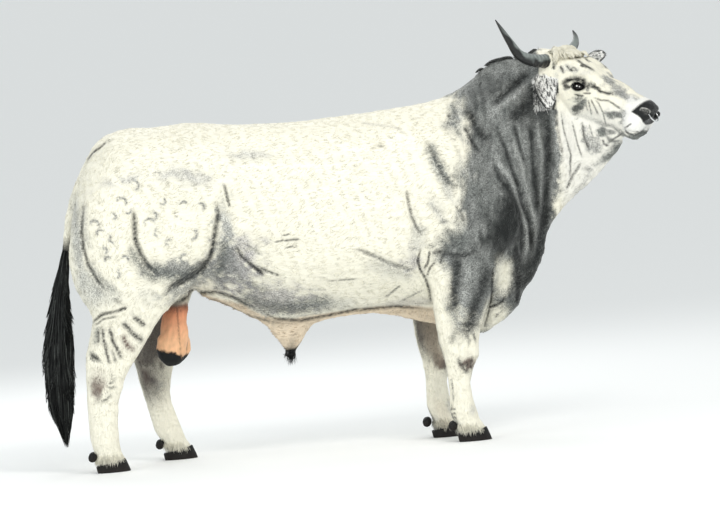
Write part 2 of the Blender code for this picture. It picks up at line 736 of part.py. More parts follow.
def sheath_forms():
    """The sheath below the navel, wide where it leaves the fold and narrow at its mouth."""
    rings = []
    levels = [
        (0.462, -0.345, -0.286, 0.022, 0.0),
        (0.486, -0.358, -0.270, 0.027, 0.0),
        (0.520, -0.382, -0.246, 0.033, 0.0),
        (0.556, -0.410, -0.214, 0.036, 0.0),
        (0.600, -0.430, -0.190, 0.036, 0.0),
        (0.660, -0.440, -0.180, 0.040, 0.0),
    ]
    for height, rear, front, half, centre in smooth_rows(levels, 4):
        begin = Vector((rear, centre, height))
        end = Vector((front, centre, height))
        rings.append(section(begin, end, half, (1.1, 1.0, 1.0, 1.1), Vector((0, 1, 0)), 28))
    return [loft("sheath", rings)]


# Pieces that stand on the skin


def horn(side):
    """A horn that goes out and a little back, then up to its tip. The right tip stands higher."""
    raised = 0.040 if side == RIGHT else -0.036
    ahead = 0.0 if side == RIGHT else 0.010
    route = [
        (0.006, -0.058, 0.092),
        (-0.003, -0.062, 0.135),
        (-0.024 + 0.3 * ahead, -0.064, 0.190),
        (-0.060 + 0.6 * ahead, -0.058 + 0.1 * raised, 0.245),
        (-0.094 + ahead - 0.2 * raised, -0.026 + 0.4 * raised, 0.300),
        (-0.130 + ahead - 0.4 * raised, 0.000 + 0.7 * raised, 0.333),
        (-0.168 + ahead - 0.6 * raised, 0.020 + raised, 0.352),
    ]
    radii = (0.0300, 0.0300, 0.0275, 0.0235, 0.0175, 0.0110, 0.0035)
    points = [on_head(along, height, side * across) for along, height, across in route]
    return points, radii


def ear_rings(root, tip, facing, width):
    """Rings of a cupped leaf from root to tip that opens along facing."""
    run = tip - root
    length = run.length
    run.normalize()
    facing = (facing - facing.dot(run) * run).normalized()
    across = run.cross(facing)
    shape = (
        (-0.12, 0.20, 0.00, 0.030),
        (0.00, 0.26, 0.10, 0.026),
        (0.12, 0.36, 0.26, 0.016),
        (0.28, 0.47, 0.34, 0.012),
        (0.48, 0.50, 0.30, 0.010),
        (0.68, 0.42, 0.22, 0.009),
        (0.85, 0.27, 0.12, 0.008),
        (0.96, 0.12, 0.05, 0.007),
        (1.00, 0.05, 0.02, 0.006),
    )
    rings = []
    for reach, half, cup, wall in shape:
        middle = root + run * (reach * length)
        steps = [-1 + 2 * i / 6 for i in range(7)]
        inner = [(half * width * v, cup * width * (v * v - 0.5)) for v in steps]
        outer = [(a, b - wall * (1 - 0.45 * v * v)) for v, (a, b) in zip(steps, inner)]
        ring = inner + outer[::-1]
        rings.append([middle + across * a + facing * b for a, b in ring])
    return rings


def ear(name, side):
    root = on_head(0.030, -0.124, side * 0.120)
    if side == RIGHT:
        tip = Vector((0.926, -0.268, 1.458))
        facing = Vector((0.34, -0.90, 0.28))
    else:
        tip = Vector((1.200, 0.158, 1.648))
        facing = Vector((0.50, -0.62, -0.45))
    return loft(name, ear_rings(root, tip, facing, 0.112))


def ball(name, centre, radius, axis, segments=14, rings=9):
    shape = bmesh.new()
    turn = axis.to_track_quat("Z", "Y").to_matrix().to_4x4()
    place = Matrix.Translation(centre) @ turn
    bmesh.ops.create_uvsphere(shape, u_segments=segments, v_segments=rings, radius=radius, matrix=place)
    return object_from_bmesh(name, shape)


def eye_centre(side):
    return on_head(EYE_PLACE[0], EYE_PLACE[1], side * EYE_PLACE[2])


def eye_axis(side):
    return (0.16 * FORWARD + 0.10 * UP + side * 0.98 * SIDE).normalized()


def eye_opening(side):
    """An almond prism that opens the lids in front of the eyeball."""
    out = eye_axis(side)
    along = (FORWARD - FORWARD.dot(out) * out).normalized()
    high = out.cross(along) * side
    if high.dot(UP) < 0:
        high = -high
    outline = []
    level = math.cos(EYE_TILT) * along + math.sin(EYE_TILT) * high
    upright = math.cos(EYE_TILT) * high - math.sin(EYE_TILT) * along
    for i in range(12):
        angle = 2 * math.pi * i / 12
        reach = math.cos(angle)
        lid = 0.0150 if math.sin(angle) > 0 else 0.0105
        lift = math.sin(angle) * lid * (1 - 0.25 * reach * reach)
        outline.append(level * 0.0280 * reach + upright * (lift - 0.002 * reach))
    rings = []
    for depth in (0.008, 0.060):
        rings.append([eye_centre(side) + out * depth + point for point in outline])
    return hidden(loft("eye_opening", rings))


def ring_points():
    """The nose ring hangs from inside the nostrils, out in front of the upper lip."""
    centre = on_head(0.546, -0.036, 0.0)
    tilt = math.radians(28)
    down = math.cos(tilt) * FORWARD - math.sin(tilt) * UP
    points = []
    for i in range(RING_STEPS):
        angle = 2 * math.pi * i / RING_STEPS
        points.append(centre + RING_RADIUS * (SIDE * math.cos(angle) + down * math.sin(angle)))
    return points


def nose_ring(name):
    """A closed wire ring of round section."""
    points = ring_points()
    centre = sum(points, Vector()) / len(points)
    normal = (points[0] - centre).cross(points[5] - centre).normalized()
    rings = []
    for point in points:
        out = (point - centre).normalized()
        turns = [2 * math.pi * k / WIRE_SIDES for k in range(WIRE_SIDES)]
        rings.append([point + RING_WIRE * (out * math.cos(turn) + normal * math.sin(turn)) for turn in turns])
    shape = bmesh.new()
    rows = [[shape.verts.new(point) for point in ring] for ring in rings]
    for i in range(len(rows)):
        first, second = rows[i], rows[(i + 1) % len(rows)]
        for k in range(len(first)):
            j = (k + 1) % len(first)
            shape.faces.new((first[k], first[j], second[j], second[k]))
    return object_from_bmesh(name, shape)


def coronet_height(x, heel):
    """Height of the slanted line where horn meets hair."""
    return CORONET_HEEL + (x - heel) * CORONET_SLOPE


def claw(name, heel, centre, side_out):
    """One half of a cloven hoof with a flat sole; side_out is the side its curved wall faces."""
    rings = []
    levels = ((0.0, 0.004, 0.152, 0.062), (0.35, 0.001, 0.145, 0.061), (1.0, -0.002, 0.131, 0.059))
    outer = ((0.0, 0.60), (0.12, 0.86), (0.35, 1.0), (0.62, 0.95), (0.84, 0.68), (0.96, 0.34))
    inner = ((1.0, 0.10), (0.70, 0.0), (0.35, 0.03), (0.05, 0.10))
    for rise, start, end, width in levels:
        ring = []
        for reach, share in outer + inner:
            x = heel + start + reach * (end - start)
            y = centre + side_out * (CLEFT / 2 + share * (width - CLEFT / 2))
            top = coronet_height(x, heel) - GAP
            ring.append(Vector((x, y, rise * top)))
        rings.append(ring)
    return loft(name, rings)


def dewclaw(name, place):
    """A dewclaw behind the fetlock."""
    x, y, z = place
    shape = bmesh.new()
    lean = Matrix.Rotation(math.radians(30), 4, "Y")
    size = Matrix.Diagonal((0.0205, 0.0165, 0.0225, 1))
    place = Matrix.Translation((x, y, z)) @ lean @ size
    bmesh.ops.create_uvsphere(shape, u_segments=8, v_segments=6, radius=1.0, matrix=place)
    return object_from_bmesh(name, shape)


def lock(points, width, thickness, flat):
    """A flat tapered lock of hair along points, with four sides; flat is the way its breadth lies."""
    rings = []
    last = len(points) - 1
    for i, point in enumerate(points[:-1]):
        run = (points[i + 1] - point).normalized()
        broad = (flat - flat.dot(run) * run).normalized()
        deep = run.cross(broad)
        share = i / last
        taper = (0.75 + 0.9 * share) if share < 0.3 else 1.02 - 0.9 * (share - 0.3)
        half = 0.5 * width * taper
        high = 0.5 * thickness * taper
        rings.append([point + broad * half, point + deep * high, point - broad * half, point - deep * high])
    rings.append([points[-1]])
    return loft("lock", rings)


def union_all(obj, pieces):
    """Fuses closed pieces into the object and keeps its largest surface."""
    home = bpy.data.collections.new("fusing")
    bpy.context.scene.collection.children.link(home)
    for piece in pieces:
        for owner in piece.users_collection:
            owner.objects.unlink(piece)
        home.objects.link(piece)
    change = obj.modifiers.new("union", "BOOLEAN")
    change.operation = "UNION"
    change.operand_type = "COLLECTION"
    change.collection = home
    change.solver = "MANIFOLD"
    apply_modifiers(obj)
    for piece in pieces:
        bpy.data.objects.remove(piece)
    bpy.data.collections.remove(home)
    return keep_largest(obj)


# The tail


def switch_place(height):
    """Middle x and half breadth of the switch at a height."""
    heights = [row[0] for row in SWITCH_MIDDLE[::-1]]
    middle = float(np.interp(height, heights, [row[1] for row in SWITCH_MIDDLE[::-1]]))
    half = float(np.interp(height, heights, [row[2] for row in SWITCH_MIDDLE[::-1]]))
    return middle, half


def switch_lock(number, count):
    """One lock of the switch: it leaves the core, swings out to the outline and ends in a point."""
    share = number / (count - 1)
    top = 0.965 - 0.66 * share
    length = 0.23 + 0.05 * random.random()
    bottom = max(0.114 + 0.03 * random.random() * (1 - share), top - length)
    if number == count - 1:
        bottom = 0.112
    angle = number * GOLDEN_ANGLE
    points = []
    steps = 4
    for i in range(steps + 1):
        u = i / steps
        height = top + (bottom - top) * u
        middle, half = switch_place(height)
        out = (0.30 + 0.62 * min(1.0, 1.6 * u)) * half
        if i == 0:
            out = min(0.35 * half, 0.010)
        sway = 0.12 * half * math.sin(3 * u + number)
        x = middle + out * math.cos(angle) + sway
        y = 0.85 * out * math.sin(angle)
        points.append(Vector((x, y, height)))
    flat = Vector((-math.sin(angle), math.cos(angle), 0))
    return lock(points, 0.042, 0.013, flat)


def sheath_locks():
    """A short tuft at the mouth of the sheath."""
    pieces = []
    for i in range(SHEATH_LOCKS):
        angle = 2 * math.pi * i / SHEATH_LOCKS
        x = -0.316 + 0.021 * math.cos(angle)
        y = 0.013 * math.sin(angle)
        points = []
        for u in (0.0, 0.35, 0.7, 1.0):
            drop = u * (0.052 + 0.018 * ((i * 5) % SHEATH_LOCKS) / SHEATH_LOCKS)
            out = 0.006 * math.cos(angle) * u
            points.append(Vector((x - 0.010 * u + out, y * (1 + 0.6 * u), 0.476 - drop)))
        pieces.append(lock(points, 0.024, 0.010, Vector((-math.sin(angle), math.cos(angle), 0))))
    return pieces


def topknot(scalp):
    """Locks that fall from the poll over the forehead, each rooted in the scalp and lying close over it."""
    pieces = []
    for row, (along, length, count) in enumerate(TOPKNOT_ROWS):
        for i in range(count):
            across = (i - (count - 1) / 2) * TOPKNOT_BREADTH / count
            across += 0.004 * math.sin(7 * i + row)
            reach = length * (0.85 + 0.3 * random.random())
            spread = across * 0.35 + 0.010 * math.sin(3.1 * i + 2 * row)
            points = []
            for u, lift in ((0.0, -0.006), (0.3, 0.009), (0.7, 0.010), (1.0, 0.006)):
                above = on_head(along + reach * u, 0.12, across + spread * u)
                hit, place, normal, _ = scalp.ray_cast(above, -UP)
                if not hit:
                    place = above - 0.12 * UP
                points.append(place + UP * lift)
            pieces.append(lock(points, 0.030, 0.011, SIDE))
    return pieces


# Parting the skin


def part_skin(body):
    """Cuts the skin with thin sheets and returns its pieces by name."""
    cut_from(body, sheet_cutter([on_head(*point) for point in NAPE_FOLD], SIDE * 0.32))
    cut_from(body, sheet_cutter([Vector(point) for point in SHOULDER_FOLD], Vector((0, 0.45, 0))))
    for side in (RIGHT, LEFT):
        high = FORE_PART_HEIGHT
        fore = [(0.45, side * 0.60, high), (0.45, side * 0.100, high), (0.45, side * 0.100, 0.40)]
        cut_from(body, sheet_cutter(fore, Vector((0.34, 0, 0))))
        high = HIND_PART_HEIGHT
        hind = [(-1.00, side * 0.60, high), (-1.00, side * 0.095, high), (-1.00, side * 0.095, 0.62)]
        cut_from(body, sheet_cutter(hind, Vector((0.34, 0, 0))))
    cut_from(body, sheet_cutter([(-0.835, -0.094, 0.700), (-0.835, 0.094, 0.700)], Vector((0.12, 0, 0))))
    cut_from(body, sheet_cutter([(-0.320, -0.10, 0.547), (-0.320, 0.10, 0.547)], Vector((0.15, 0, 0))))
    pieces = {}
    places = vertex_array(body.data)
    for group in sorted(loose_parts(body.data), key=len, reverse=True)[: len(PIECE_MIDDLES)]:
        index = sorted(group)
        spot = (places[index].min(0) + places[index].max(0)) / 2
        name = min(PIECE_MIDDLES, key=lambda key: np.linalg.norm(spot - PIECE_MIDDLES[key]))
        pieces[name] = copy_part(body, group, name)
    bpy.data.objects.remove(body)
    return pieces


def cut_from(body, cutter):
    boolean(body, cutter, "DIFFERENCE")


def copy_part(body, group, name):
    """A new object with only the given vertices of the body."""
    shape = bmesh.new()
    shape.from_mesh(body.data)
    shape.verts.ensure_lookup_table()
    drop = [vert for vert in shape.verts if vert.index not in group]
    bmesh.ops.delete(shape, geom=drop, context="VERTS")
    mesh = bpy.data.meshes.new(name)
    shape.to_mesh(mesh)
    shape.free()
    return new_object(name, mesh)


def foot_marks():
    """Name, side, heel of the sole and dewclaw x of each foot."""
    marks = []
    for side, word in ((RIGHT, "right"), (LEFT, "left")):
        fore_back = (FAR_FORE_SETBACK + 0.012) if side == LEFT else 0.0
        hind_on = (FAR_HIND_ADVANCE + 0.010) if side == LEFT else 0.0
        marks.append(("fore_" + word, side * FORE_STANCE, 0.400 - fore_back, 0.381 - fore_back))
        marks.append(("hind_" + word, side * HIND_STANCE, -1.228 + hind_on, -1.242 + hind_on))
    return marks


def main():
    for obj in list(bpy.data.objects):
        bpy.data.objects.remove(obj)
    body = skin()
    carve_face(body)
    on_skull = head_mask(body.data)
    on_face = face_mask(body.data)
    grades = [(~on_skull, 1.0), (on_skull, HEAD_WEIGHT), (on_face, FACE_WEIGHT)]
    thin_out(body, SKIN_TRIANGLES, grades)
    union_all(body, topknot(body))

    nodes = {}
    for side, word in ((RIGHT, "right"), (LEFT, "left")):
        points, radii = horn(side)
        seated = [
            tube("horn_" + word, points, radii, HORN_SIDES),
            ear("ear_" + word, side),
            ball("eye_" + word, eye_centre(side), EYE_RADIUS, eye_axis(side)),
        ]
        for piece in seated:
            nodes[piece.name] = piece
            cut_from(body, seat_of(piece))
        cut_from(body, eye_opening(side))
    dock_points = [Vector(point) for point, _ in TAIL_DOCK]
    nodes["tail_dock"] = tube("tail_dock", dock_points, [radius for _, radius in TAIL_DOCK], TAIL_SIDES)
    dock_seat = seat_of(nodes["tail_dock"])
    cut_from(body, dock_seat)
    nodes["nose_ring"] = nose_ring("nose_ring")
    cut_from(body, seat_of(nodes["nose_ring"]))

    for word, centre, heel, rear in foot_marks():
        cut_from(body, below_coronet(heel, centre))
        for half, side_out in (("outer", 1), ("inner", -1)):
            outward = side_out if centre > 0 else -side_out
            nodes[f"claw_{word}_{half}"] = claw(f"claw_{word}_{half}", heel, centre, outward)
            place = (rear, centre + outward * 0.030, DEWCLAW_HEIGHT)
            nodes[f"dewclaw_{word}_{half}"] = dewclaw(f"dewclaw_{word}_{half}", place)
            cut_from(body, seat_of(nodes[f"dewclaw_{word}_{half}"]))

    nodes.update(part_skin(body))
    core_points = [Vector(point) for point, _ in SWITCH_CORE]
    switch = tube("tail_switch", core_points, [radius for _, radius in SWITCH_CORE], TAIL_SIDES)
    nodes["tail_switch"] = union_all(switch, [switch_lock(i, SWITCH_LOCKS) for i in range(SWITCH_LOCKS)])
    cut_from(nodes["tail_switch"], dock_seat)
    nodes["sheath"] = union_all(nodes["sheath"], sheath_locks())
    finish(nodes)


def triangulate(mesh):
    """Splits every face into triangles, so that each reader of the mesh sees the same ones."""
    shape = bmesh.new()
    shape.from_mesh(mesh)
    bmesh.ops.triangulate(shape, faces=shape.faces)
    shape.to_mesh(mesh)
    shape.free()


def below_coronet(heel, centre):
    """A tilted block whose top is the coronet of one foot."""
    shape = bmesh.new()
    tilt = Matrix.Rotation(-math.atan(CORONET_SLOPE), 4, "Y")
    size = Matrix.Diagonal((0.40, 0.20, 0.20, 1))
    middle = Vector((heel, centre, CORONET_HEEL)) - (tilt @ Vector((0, 0, 0.10)))
    bmesh.ops.create_cube(shape, size=1.0, matrix=Matrix.Translation(middle) @ tilt @ size)
    return hidden(object_from_bmesh("below_coronet", shape))


def finish(nodes):
    """Puts the parts and cutters in their collections, with a material for each part."""
    home = bpy.data.collections.new("bull")
    tools = bpy.data.collections.new("cutters")
    for collection in (home, tools):
        bpy.context.scene.collection.children.link(collection)
    tools.hide_render = True
    for name, obj in nodes.items():
        obj.name = name
        obj.data.name = name
        triangulate(obj.data)
        colour, roughness, metallic = next(look for key, look in LOOKS.items() if name.startswith(key))
        obj.data.materials.clear()
        obj.data.materials.append(material(name, colour, roughness, metallic))
        move_to(obj, home)
    for cutter in CUTTERS:
        cutter.hide_render = True
        cutter.display_type = "WIRE"
        move_to(cutter, tools)


def move_to(obj, home):
    for owner in list(obj.users_collection):
        owner.objects.unlink(obj)
    home.objects.link(obj)


def material(name, colour, roughness, metallic):
    finish_of = bpy.data.materials.new(name)
    finish_of.use_nodes = True
    shader = finish_of.node_tree.nodes["Principled BSDF"]
    shader.inputs["Base Color"].default_value = (*colour, 1)
    shader.inputs["Roughness"].default_value = roughness
    shader.inputs["Metallic"].default_value = metallic
    return finish_of


main()
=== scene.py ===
"""The dressed bull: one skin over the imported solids, its coat, horns, eyes, hooves and nose ring."""

from __future__ import annotations

import contextlib
import functools
import json
import logging
import math
from collections.abc import Iterator
from dataclasses import dataclass, field
from enum import Enum

import bpy
import numpy as np
from mathutils import Matrix, Vector
from mathutils.bvhtree import BVHTree

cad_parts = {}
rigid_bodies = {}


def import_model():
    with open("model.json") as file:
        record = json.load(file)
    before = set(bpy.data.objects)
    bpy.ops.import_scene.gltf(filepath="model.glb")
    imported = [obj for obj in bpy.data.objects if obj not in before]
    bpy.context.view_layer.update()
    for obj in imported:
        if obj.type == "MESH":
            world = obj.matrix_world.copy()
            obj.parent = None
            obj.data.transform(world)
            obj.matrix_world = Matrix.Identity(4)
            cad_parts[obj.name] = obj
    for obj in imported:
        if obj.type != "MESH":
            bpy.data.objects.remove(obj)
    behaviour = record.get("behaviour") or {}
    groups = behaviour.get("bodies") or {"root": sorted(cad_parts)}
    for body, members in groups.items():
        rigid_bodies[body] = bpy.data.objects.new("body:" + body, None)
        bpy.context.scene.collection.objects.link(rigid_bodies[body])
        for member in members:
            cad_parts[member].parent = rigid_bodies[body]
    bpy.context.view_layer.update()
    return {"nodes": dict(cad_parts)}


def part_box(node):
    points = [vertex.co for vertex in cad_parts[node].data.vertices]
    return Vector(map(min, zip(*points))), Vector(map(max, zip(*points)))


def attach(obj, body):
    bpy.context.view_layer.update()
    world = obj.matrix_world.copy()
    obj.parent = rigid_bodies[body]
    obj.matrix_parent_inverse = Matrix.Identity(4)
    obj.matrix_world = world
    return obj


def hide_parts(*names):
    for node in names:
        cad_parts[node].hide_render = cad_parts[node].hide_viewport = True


log = logging.getLogger("bull")

ROOT_BODY = "root"
MM = 1000  # millimetres in a metre
FORE_FROM = 0.20
HIND_UNTIL = -0.72
PAD_SLOPE = 0.35
HAIR_PATCH = 0.003
POUCH_X = -0.835
Point = tuple[float, float, float]
Spot = tuple[float, float]
Colour = tuple[float, float, float]


class Side(Enum):
    """The bull's own right or left, as the sign of y."""

    RIGHT = -1
    LEFT = 1


class Slot(Enum):
    """Material slots of the record."""

    PALE_COAT = "pale coat"
    DARK_COAT = "dark coat"
    HORN = "horn"
    CLAW = "claw horn"
    EYE = "eye"
    RING = "nose ring"
    SWITCH = "switch hair"


def rgb(red: int, green: int, blue: int) -> Colour:
    """A colour from the 0 to 255 values of a paint chart, as linear light."""
    return tuple(((c / 255 + 0.055) / 1.055) ** 2.4 if c > 10 else c / 255 / 12.92 for c in (red, green, blue))


CREAM = rgb(250, 246, 228)
WHITE = rgb(250, 249, 244)
PALE_GREY = rgb(206, 205, 198)
GREY = rgb(150, 151, 148)
SLATE = rgb(104, 108, 105)
INK = rgb(38, 41, 40)
DEEP = rgb(24, 28, 27)
BLACK = rgb(14, 16, 16)
ASH = rgb(178, 180, 176)
LILAC = rgb(152, 150, 156)
COCOA = rgb(96, 74, 66)
TAN = rgb(228, 210, 184)
BROWN = rgb(122, 100, 90)
PEACH = rgb(244, 192, 148)
ORANGE = rgb(232, 150, 112)


# Small helpers for arrays of points


def smooth(value: np.ndarray, low: float, high: float) -> np.ndarray:
    """A soft step from 0 at low to 1 at high.

    Args:
        value: numbers to step.
        low: where the step starts.
        high: where it ends; it may lie below low.

    Returns:
        Shares from 0 to 1.
    """
    share = np.clip((value - low) / (high - low), 0.0, 1.0)
    return share * share * (3.0 - 2.0 * share)


def blend(first: np.ndarray, second: np.ndarray | Colour, share: np.ndarray) -> np.ndarray:
    """The first where the share is 0, and the second where it is 1."""
    return first * (1 - share) + np.asarray(second) * share


def unit(vectors: np.ndarray) -> np.ndarray:
    """The vectors at length 1."""
    return vectors / np.maximum(np.linalg.norm(vectors, axis=-1, keepdims=True), 1e-9)


def ripple(points: np.ndarray, size: float, seed: int) -> np.ndarray:
    """Soft irregular waves over space.

    Args:
        points: places, one row each.
        size: typical wave length in metres.
        seed: which set of waves.

    Returns:
        Values of about -1 to 1, one for each place.
    """
    draw = np.random.default_rng(seed)
    total = np.zeros(len(points))
    for _ in range(9):
        wave = draw.normal(size=points.shape[1])
        wave *= 2 * math.pi / (size * np.linalg.norm(wave)) * draw.uniform(0.6, 1.6)
        total += np.sin(points @ wave + draw.uniform(0, 2 * math.pi))
    return total / 3.0


def around(turn: np.ndarray) -> np.ndarray:
    """Level directions at these turns."""
    return unit(np.stack([np.cos(turn), np.sin(turn), np.zeros(len(turn))], axis=1))


def path_distance(spots: np.ndarray, path: np.ndarray) -> tuple[np.ndarray, np.ndarray, np.ndarray]:
    """How near each spot lies to a path of straight runs.

    Args:
        spots: places, one row each.
        path: the path's corners.

    Returns:
        The distance, the share of the path's length at the nearest place, and the signed
        distance to the left of the path where the path is flat.
    """
    runs = np.diff(path, axis=0)
    lengths = np.linalg.norm(runs, axis=1)
    begins = np.concatenate([[0.0], np.cumsum(lengths)])
    nearest = np.full(len(spots), np.inf)
    share = np.zeros(len(spots))
    side = np.zeros(len(spots))
    for i, run in enumerate(runs):
        toward = spots - path[i]
        t = np.clip(toward @ run / (run @ run), 0, 1)
        away = toward - t[:, None] * run
        far = np.linalg.norm(away, axis=1)
        closer = far < nearest
        nearest = np.where(closer, far, nearest)
        share = np.where(closer, (begins[i] + t * lengths[i]) / begins[-1], share)
        if spots.shape[1] == 2:
            left = (run[0] * away[:, 1] - run[1] * away[:, 0]) / lengths[i]
            side = np.where(closer, left, side)
    return nearest, share, side


def vertex_places(mesh: bpy.types.Mesh) -> np.ndarray:
    """Places of the mesh's vertices.

    Args:
        mesh: the mesh.

    Returns:
        One row of x, y and z for each vertex.
    """
    places = np.empty(len(mesh.vertices) * 3, np.float32)
    mesh.vertices.foreach_get("co", places)
    return places.reshape(-1, 3).astype(float)


def vertex_normals(mesh: bpy.types.Mesh) -> np.ndarray:
    """Normals of the mesh's vertices.

    Args:
        mesh: the mesh.

    Returns:
        One unit row for each vertex.
    """
    normals = np.empty(len(mesh.vertices) * 3, np.float32)
    mesh.vertices.foreach_get("normal", normals)
    return normals.reshape(-1, 3).astype(float)


def set_places(mesh: bpy.types.Mesh, places: np.ndarray) -> None:
    """Moves the mesh's vertices to these places."""
    mesh.vertices.foreach_set("co", places.astype(np.float32).ravel())
    mesh.update()


# Small helpers for objects


def deselect() -> None:
    """Leaves nothing selected."""
    bpy.ops.object.select_all(action="DESELECT")


def pick(*objs: bpy.types.Object) -> bpy.types.Object:
    """Selects these objects alone and makes the first one active.

    Args:
        objs: the objects, the active one first.

    Returns:
        The active object.
    """
    deselect()
    for obj in objs:
        obj.select_set(True)
    bpy.context.view_layer.objects.active = objs[0]
    return objs[0]


def apply(obj: bpy.types.Object, kind: str, **values: object) -> bpy.types.Object:
    """Adds a modifier with these values and applies it.

    Args:
        obj: the object.
        kind: the modifier's type.
        values: its options by name.

    Returns:
        The changed object.
    """
    pick(obj)
    change = obj.modifiers.new(kind.lower(), kind)
    for name, value in values.items():
        setattr(change, name, value)
    bpy.ops.object.modifier_apply(modifier=change.name)
    return obj


@contextlib.contextmanager
def edit_mode(obj: bpy.types.Object) -> Iterator[None]:
    """Holds the object in edit mode with all of it selected.

    Args:
        obj: the object.

    Returns:
        A context in which edit operators act on the whole object.
    """
    pick(obj)
    bpy.ops.object.mode_set(mode="EDIT")
    bpy.ops.mesh.select_all(action="SELECT")
    yield
    bpy.ops.object.mode_set(mode="OBJECT")


def copy_of(node: str, name: str) -> bpy.types.Object:
    """A merged copy of a CAD node as a new object.

    Args:
        node: name of the CAD node.
        name: name of the copy.

    Returns:
        The copy, with its doubled points merged.
    """
    source = bpy.data.objects[node]
    obj = bpy.data.objects.new(name, source.data.copy())
    obj.data.name = name
    obj.data.materials.clear()
    bpy.context.scene.collection.objects.link(obj)
    with edit_mode(obj):
        bpy.ops.mesh.remove_doubles(threshold=0.00002)
    return obj


def shade_smooth(obj: bpy.types.Object) -> None:
    """Shades all faces smooth."""
    obj.data.polygons.foreach_set("use_smooth", np.ones(len(obj.data.polygons), bool))
    obj.data.update()


def seat(obj: bpy.types.Object, slot: Slot | None, *nodes: str) -> bpy.types.Object:
    """Rides the piece on the body and hides the CAD nodes that it replaces.

    Args:
        obj: the object.
        slot: not used.
        nodes: the CAD nodes that the piece stands in for.

    Returns:
        The seated piece.
    """
    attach(obj, ROOT_BODY)
    if nodes:
        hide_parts(*nodes)
    log.info("%s: %d faces", obj.name, len(obj.data.polygons))
    return obj


def mesh_object(name: str, places: np.ndarray, quads: np.ndarray, triangles: np.ndarray) -> bpy.types.Object:
    """A mesh object from arrays of places, four-sided faces and three-sided faces.

    Args:
        name: the object's name.
        places: places of the vertices, one row each.
        quads: corners of the four-sided faces.
        triangles: corners of the three-sided faces.

    Returns:
        The object, shaded smooth.
    """
    mesh = bpy.data.meshes.new(name)
    mesh.vertices.add(len(places))
    mesh.vertices.foreach_set("co", places.astype(np.float32).ravel())
    mesh.loops.add(quads.size + triangles.size)
    corners = np.concatenate([quads.ravel(), triangles.ravel()]).astype(np.int32)
    mesh.loops.foreach_set("vertex_index", corners)
    counts = np.concatenate([np.full(len(quads), 4), np.full(len(triangles), 3)]).astype(np.int32)
    starts = np.concatenate([[0], np.cumsum(counts)[:-1]]).astype(np.int32)
    mesh.polygons.add(len(counts))
    mesh.polygons.foreach_set("loop_start", starts)
    mesh.update(calc_edges=True)
    obj = bpy.data.objects.new(name, mesh)
    bpy.context.scene.collection.objects.link(obj)
    shade_smooth(obj)
    return obj


def set_colours(mesh: bpy.types.Mesh, name: str, colours: np.ndarray) -> None:
    """Stores a colour for each vertex under a name.

    Args:
        mesh: the mesh.
        name: its name.
        colours: one colour for each vertex.
    """
    layer = mesh.color_attributes.new(name, "FLOAT_COLOR", "POINT")
    full = np.concatenate([colours, np.ones((len(colours), 1))], axis=1)
    layer.data.foreach_set("color", full.astype(np.float32).ravel())


def set_values(mesh: bpy.types.Mesh, name: str, values: np.ndarray) -> None:
    """Stores a number for each vertex under a name."""
    layer = mesh.attributes.new(name, "FLOAT", "POINT")
    layer.data.foreach_set("value", values.astype(np.float32))


# The head's own frame, and the side view in which the markings are laid out


@dataclass(frozen=True)
class HeadFrame:
    """Directions along, above and across the head, from the poll."""

    poll: Point = (1.010, -0.070, 1.722)
    turn: float = math.radians(30.0)
    drop: float = math.radians(33.0)

    def axes(self) -> np.ndarray:
        """Rows: forward, up and across to the bull's left."""
        ct, st, cd, sd = math.cos(self.turn), math.sin(self.turn), math.cos(self.drop), math.sin(self.drop)
        return np.array([(cd * ct, -cd * st, -sd), (sd * ct, -sd * st, cd), (st, ct, 0.0)])

    def place(self, along: float, height: float, across: float) -> Vector:
        """A place on the head in the row frame."""
        return Vector((np.array([along, height, across]) @ self.axes() + np.array(self.poll)).tolist())

    def read(self, points: np.ndarray) -> np.ndarray:
        """Columns: how far each point is along, above and across the head."""
        return (points - np.array(self.poll)) @ self.axes().T

    def folded(self, points: np.ndarray) -> np.ndarray:
        """Columns: how far each point is along, above and to either side of the head."""
        local = self.read(points)
        return np.stack([local[:, 0], local[:, 1], np.abs(local[:, 2])], axis=1)

    def share(self, points: np.ndarray) -> np.ndarray:
        """1 on the head and 0 on the neck, with a soft change behind the ears.

        Args:
            points: places, one row each.

        Returns:
            One share for each place.
        """
        local = self.read(points)
        inside = smooth(np.abs(local[:, 2]), 0.34, 0.26) * smooth(local[:, 1], -0.42, -0.30)
        return smooth(local[:, 0], -0.10, 0.02) * inside


HEAD = HeadFrame()


@dataclass(frozen=True)
class SideView:
    """Lays every point of the bull onto its near side, so that one set of markings serves both sides."""

    fore_setback: float = 0.100
    hind_heights: tuple[float, ...] = (0.05, 0.20, 0.40, 0.64, 0.90, 1.08)
    hind_advances: tuple[float, ...] = (0.302, 0.262, 0.210, 0.148, 0.035, 0.0)
    look: float = 0.0577

    def spots(self, points: np.ndarray) -> np.ndarray:
        """Columns: x and z of each point's likeness on the near side, seen from slightly above.

        Args:
            points: places, one row each.

        Returns:
            One row of x and z for each point.
        """
        x, y, z = points.T
        fore = self.fore_setback * np.clip((0.92 - z) / 0.36, 0, 1)
        hind = np.interp(z, self.hind_heights, self.hind_advances)
        x = np.where((y > 0) & (x > -0.1), x + fore * smooth(z, 0.75, 0.60), x)
        x = np.where((y > 0) & (x < -0.5), x - hind * smooth(z, 1.0, 0.80), x)
        local = HEAD.read(points)
        local[:, 2] = -np.abs(local[:, 2])
        near = local @ HEAD.axes() + np.array(HEAD.poll)
        share = HEAD.share(points)
        level = z - np.abs(y) * self.look + 0.2 * self.look
        head_level = near[:, 2] + (near[:, 1] + 0.2) * self.look
        return np.stack([x + (near[:, 0] - x) * share, level + (head_level - level) * share], axis=1)


SIDE_VIEW = SideView()


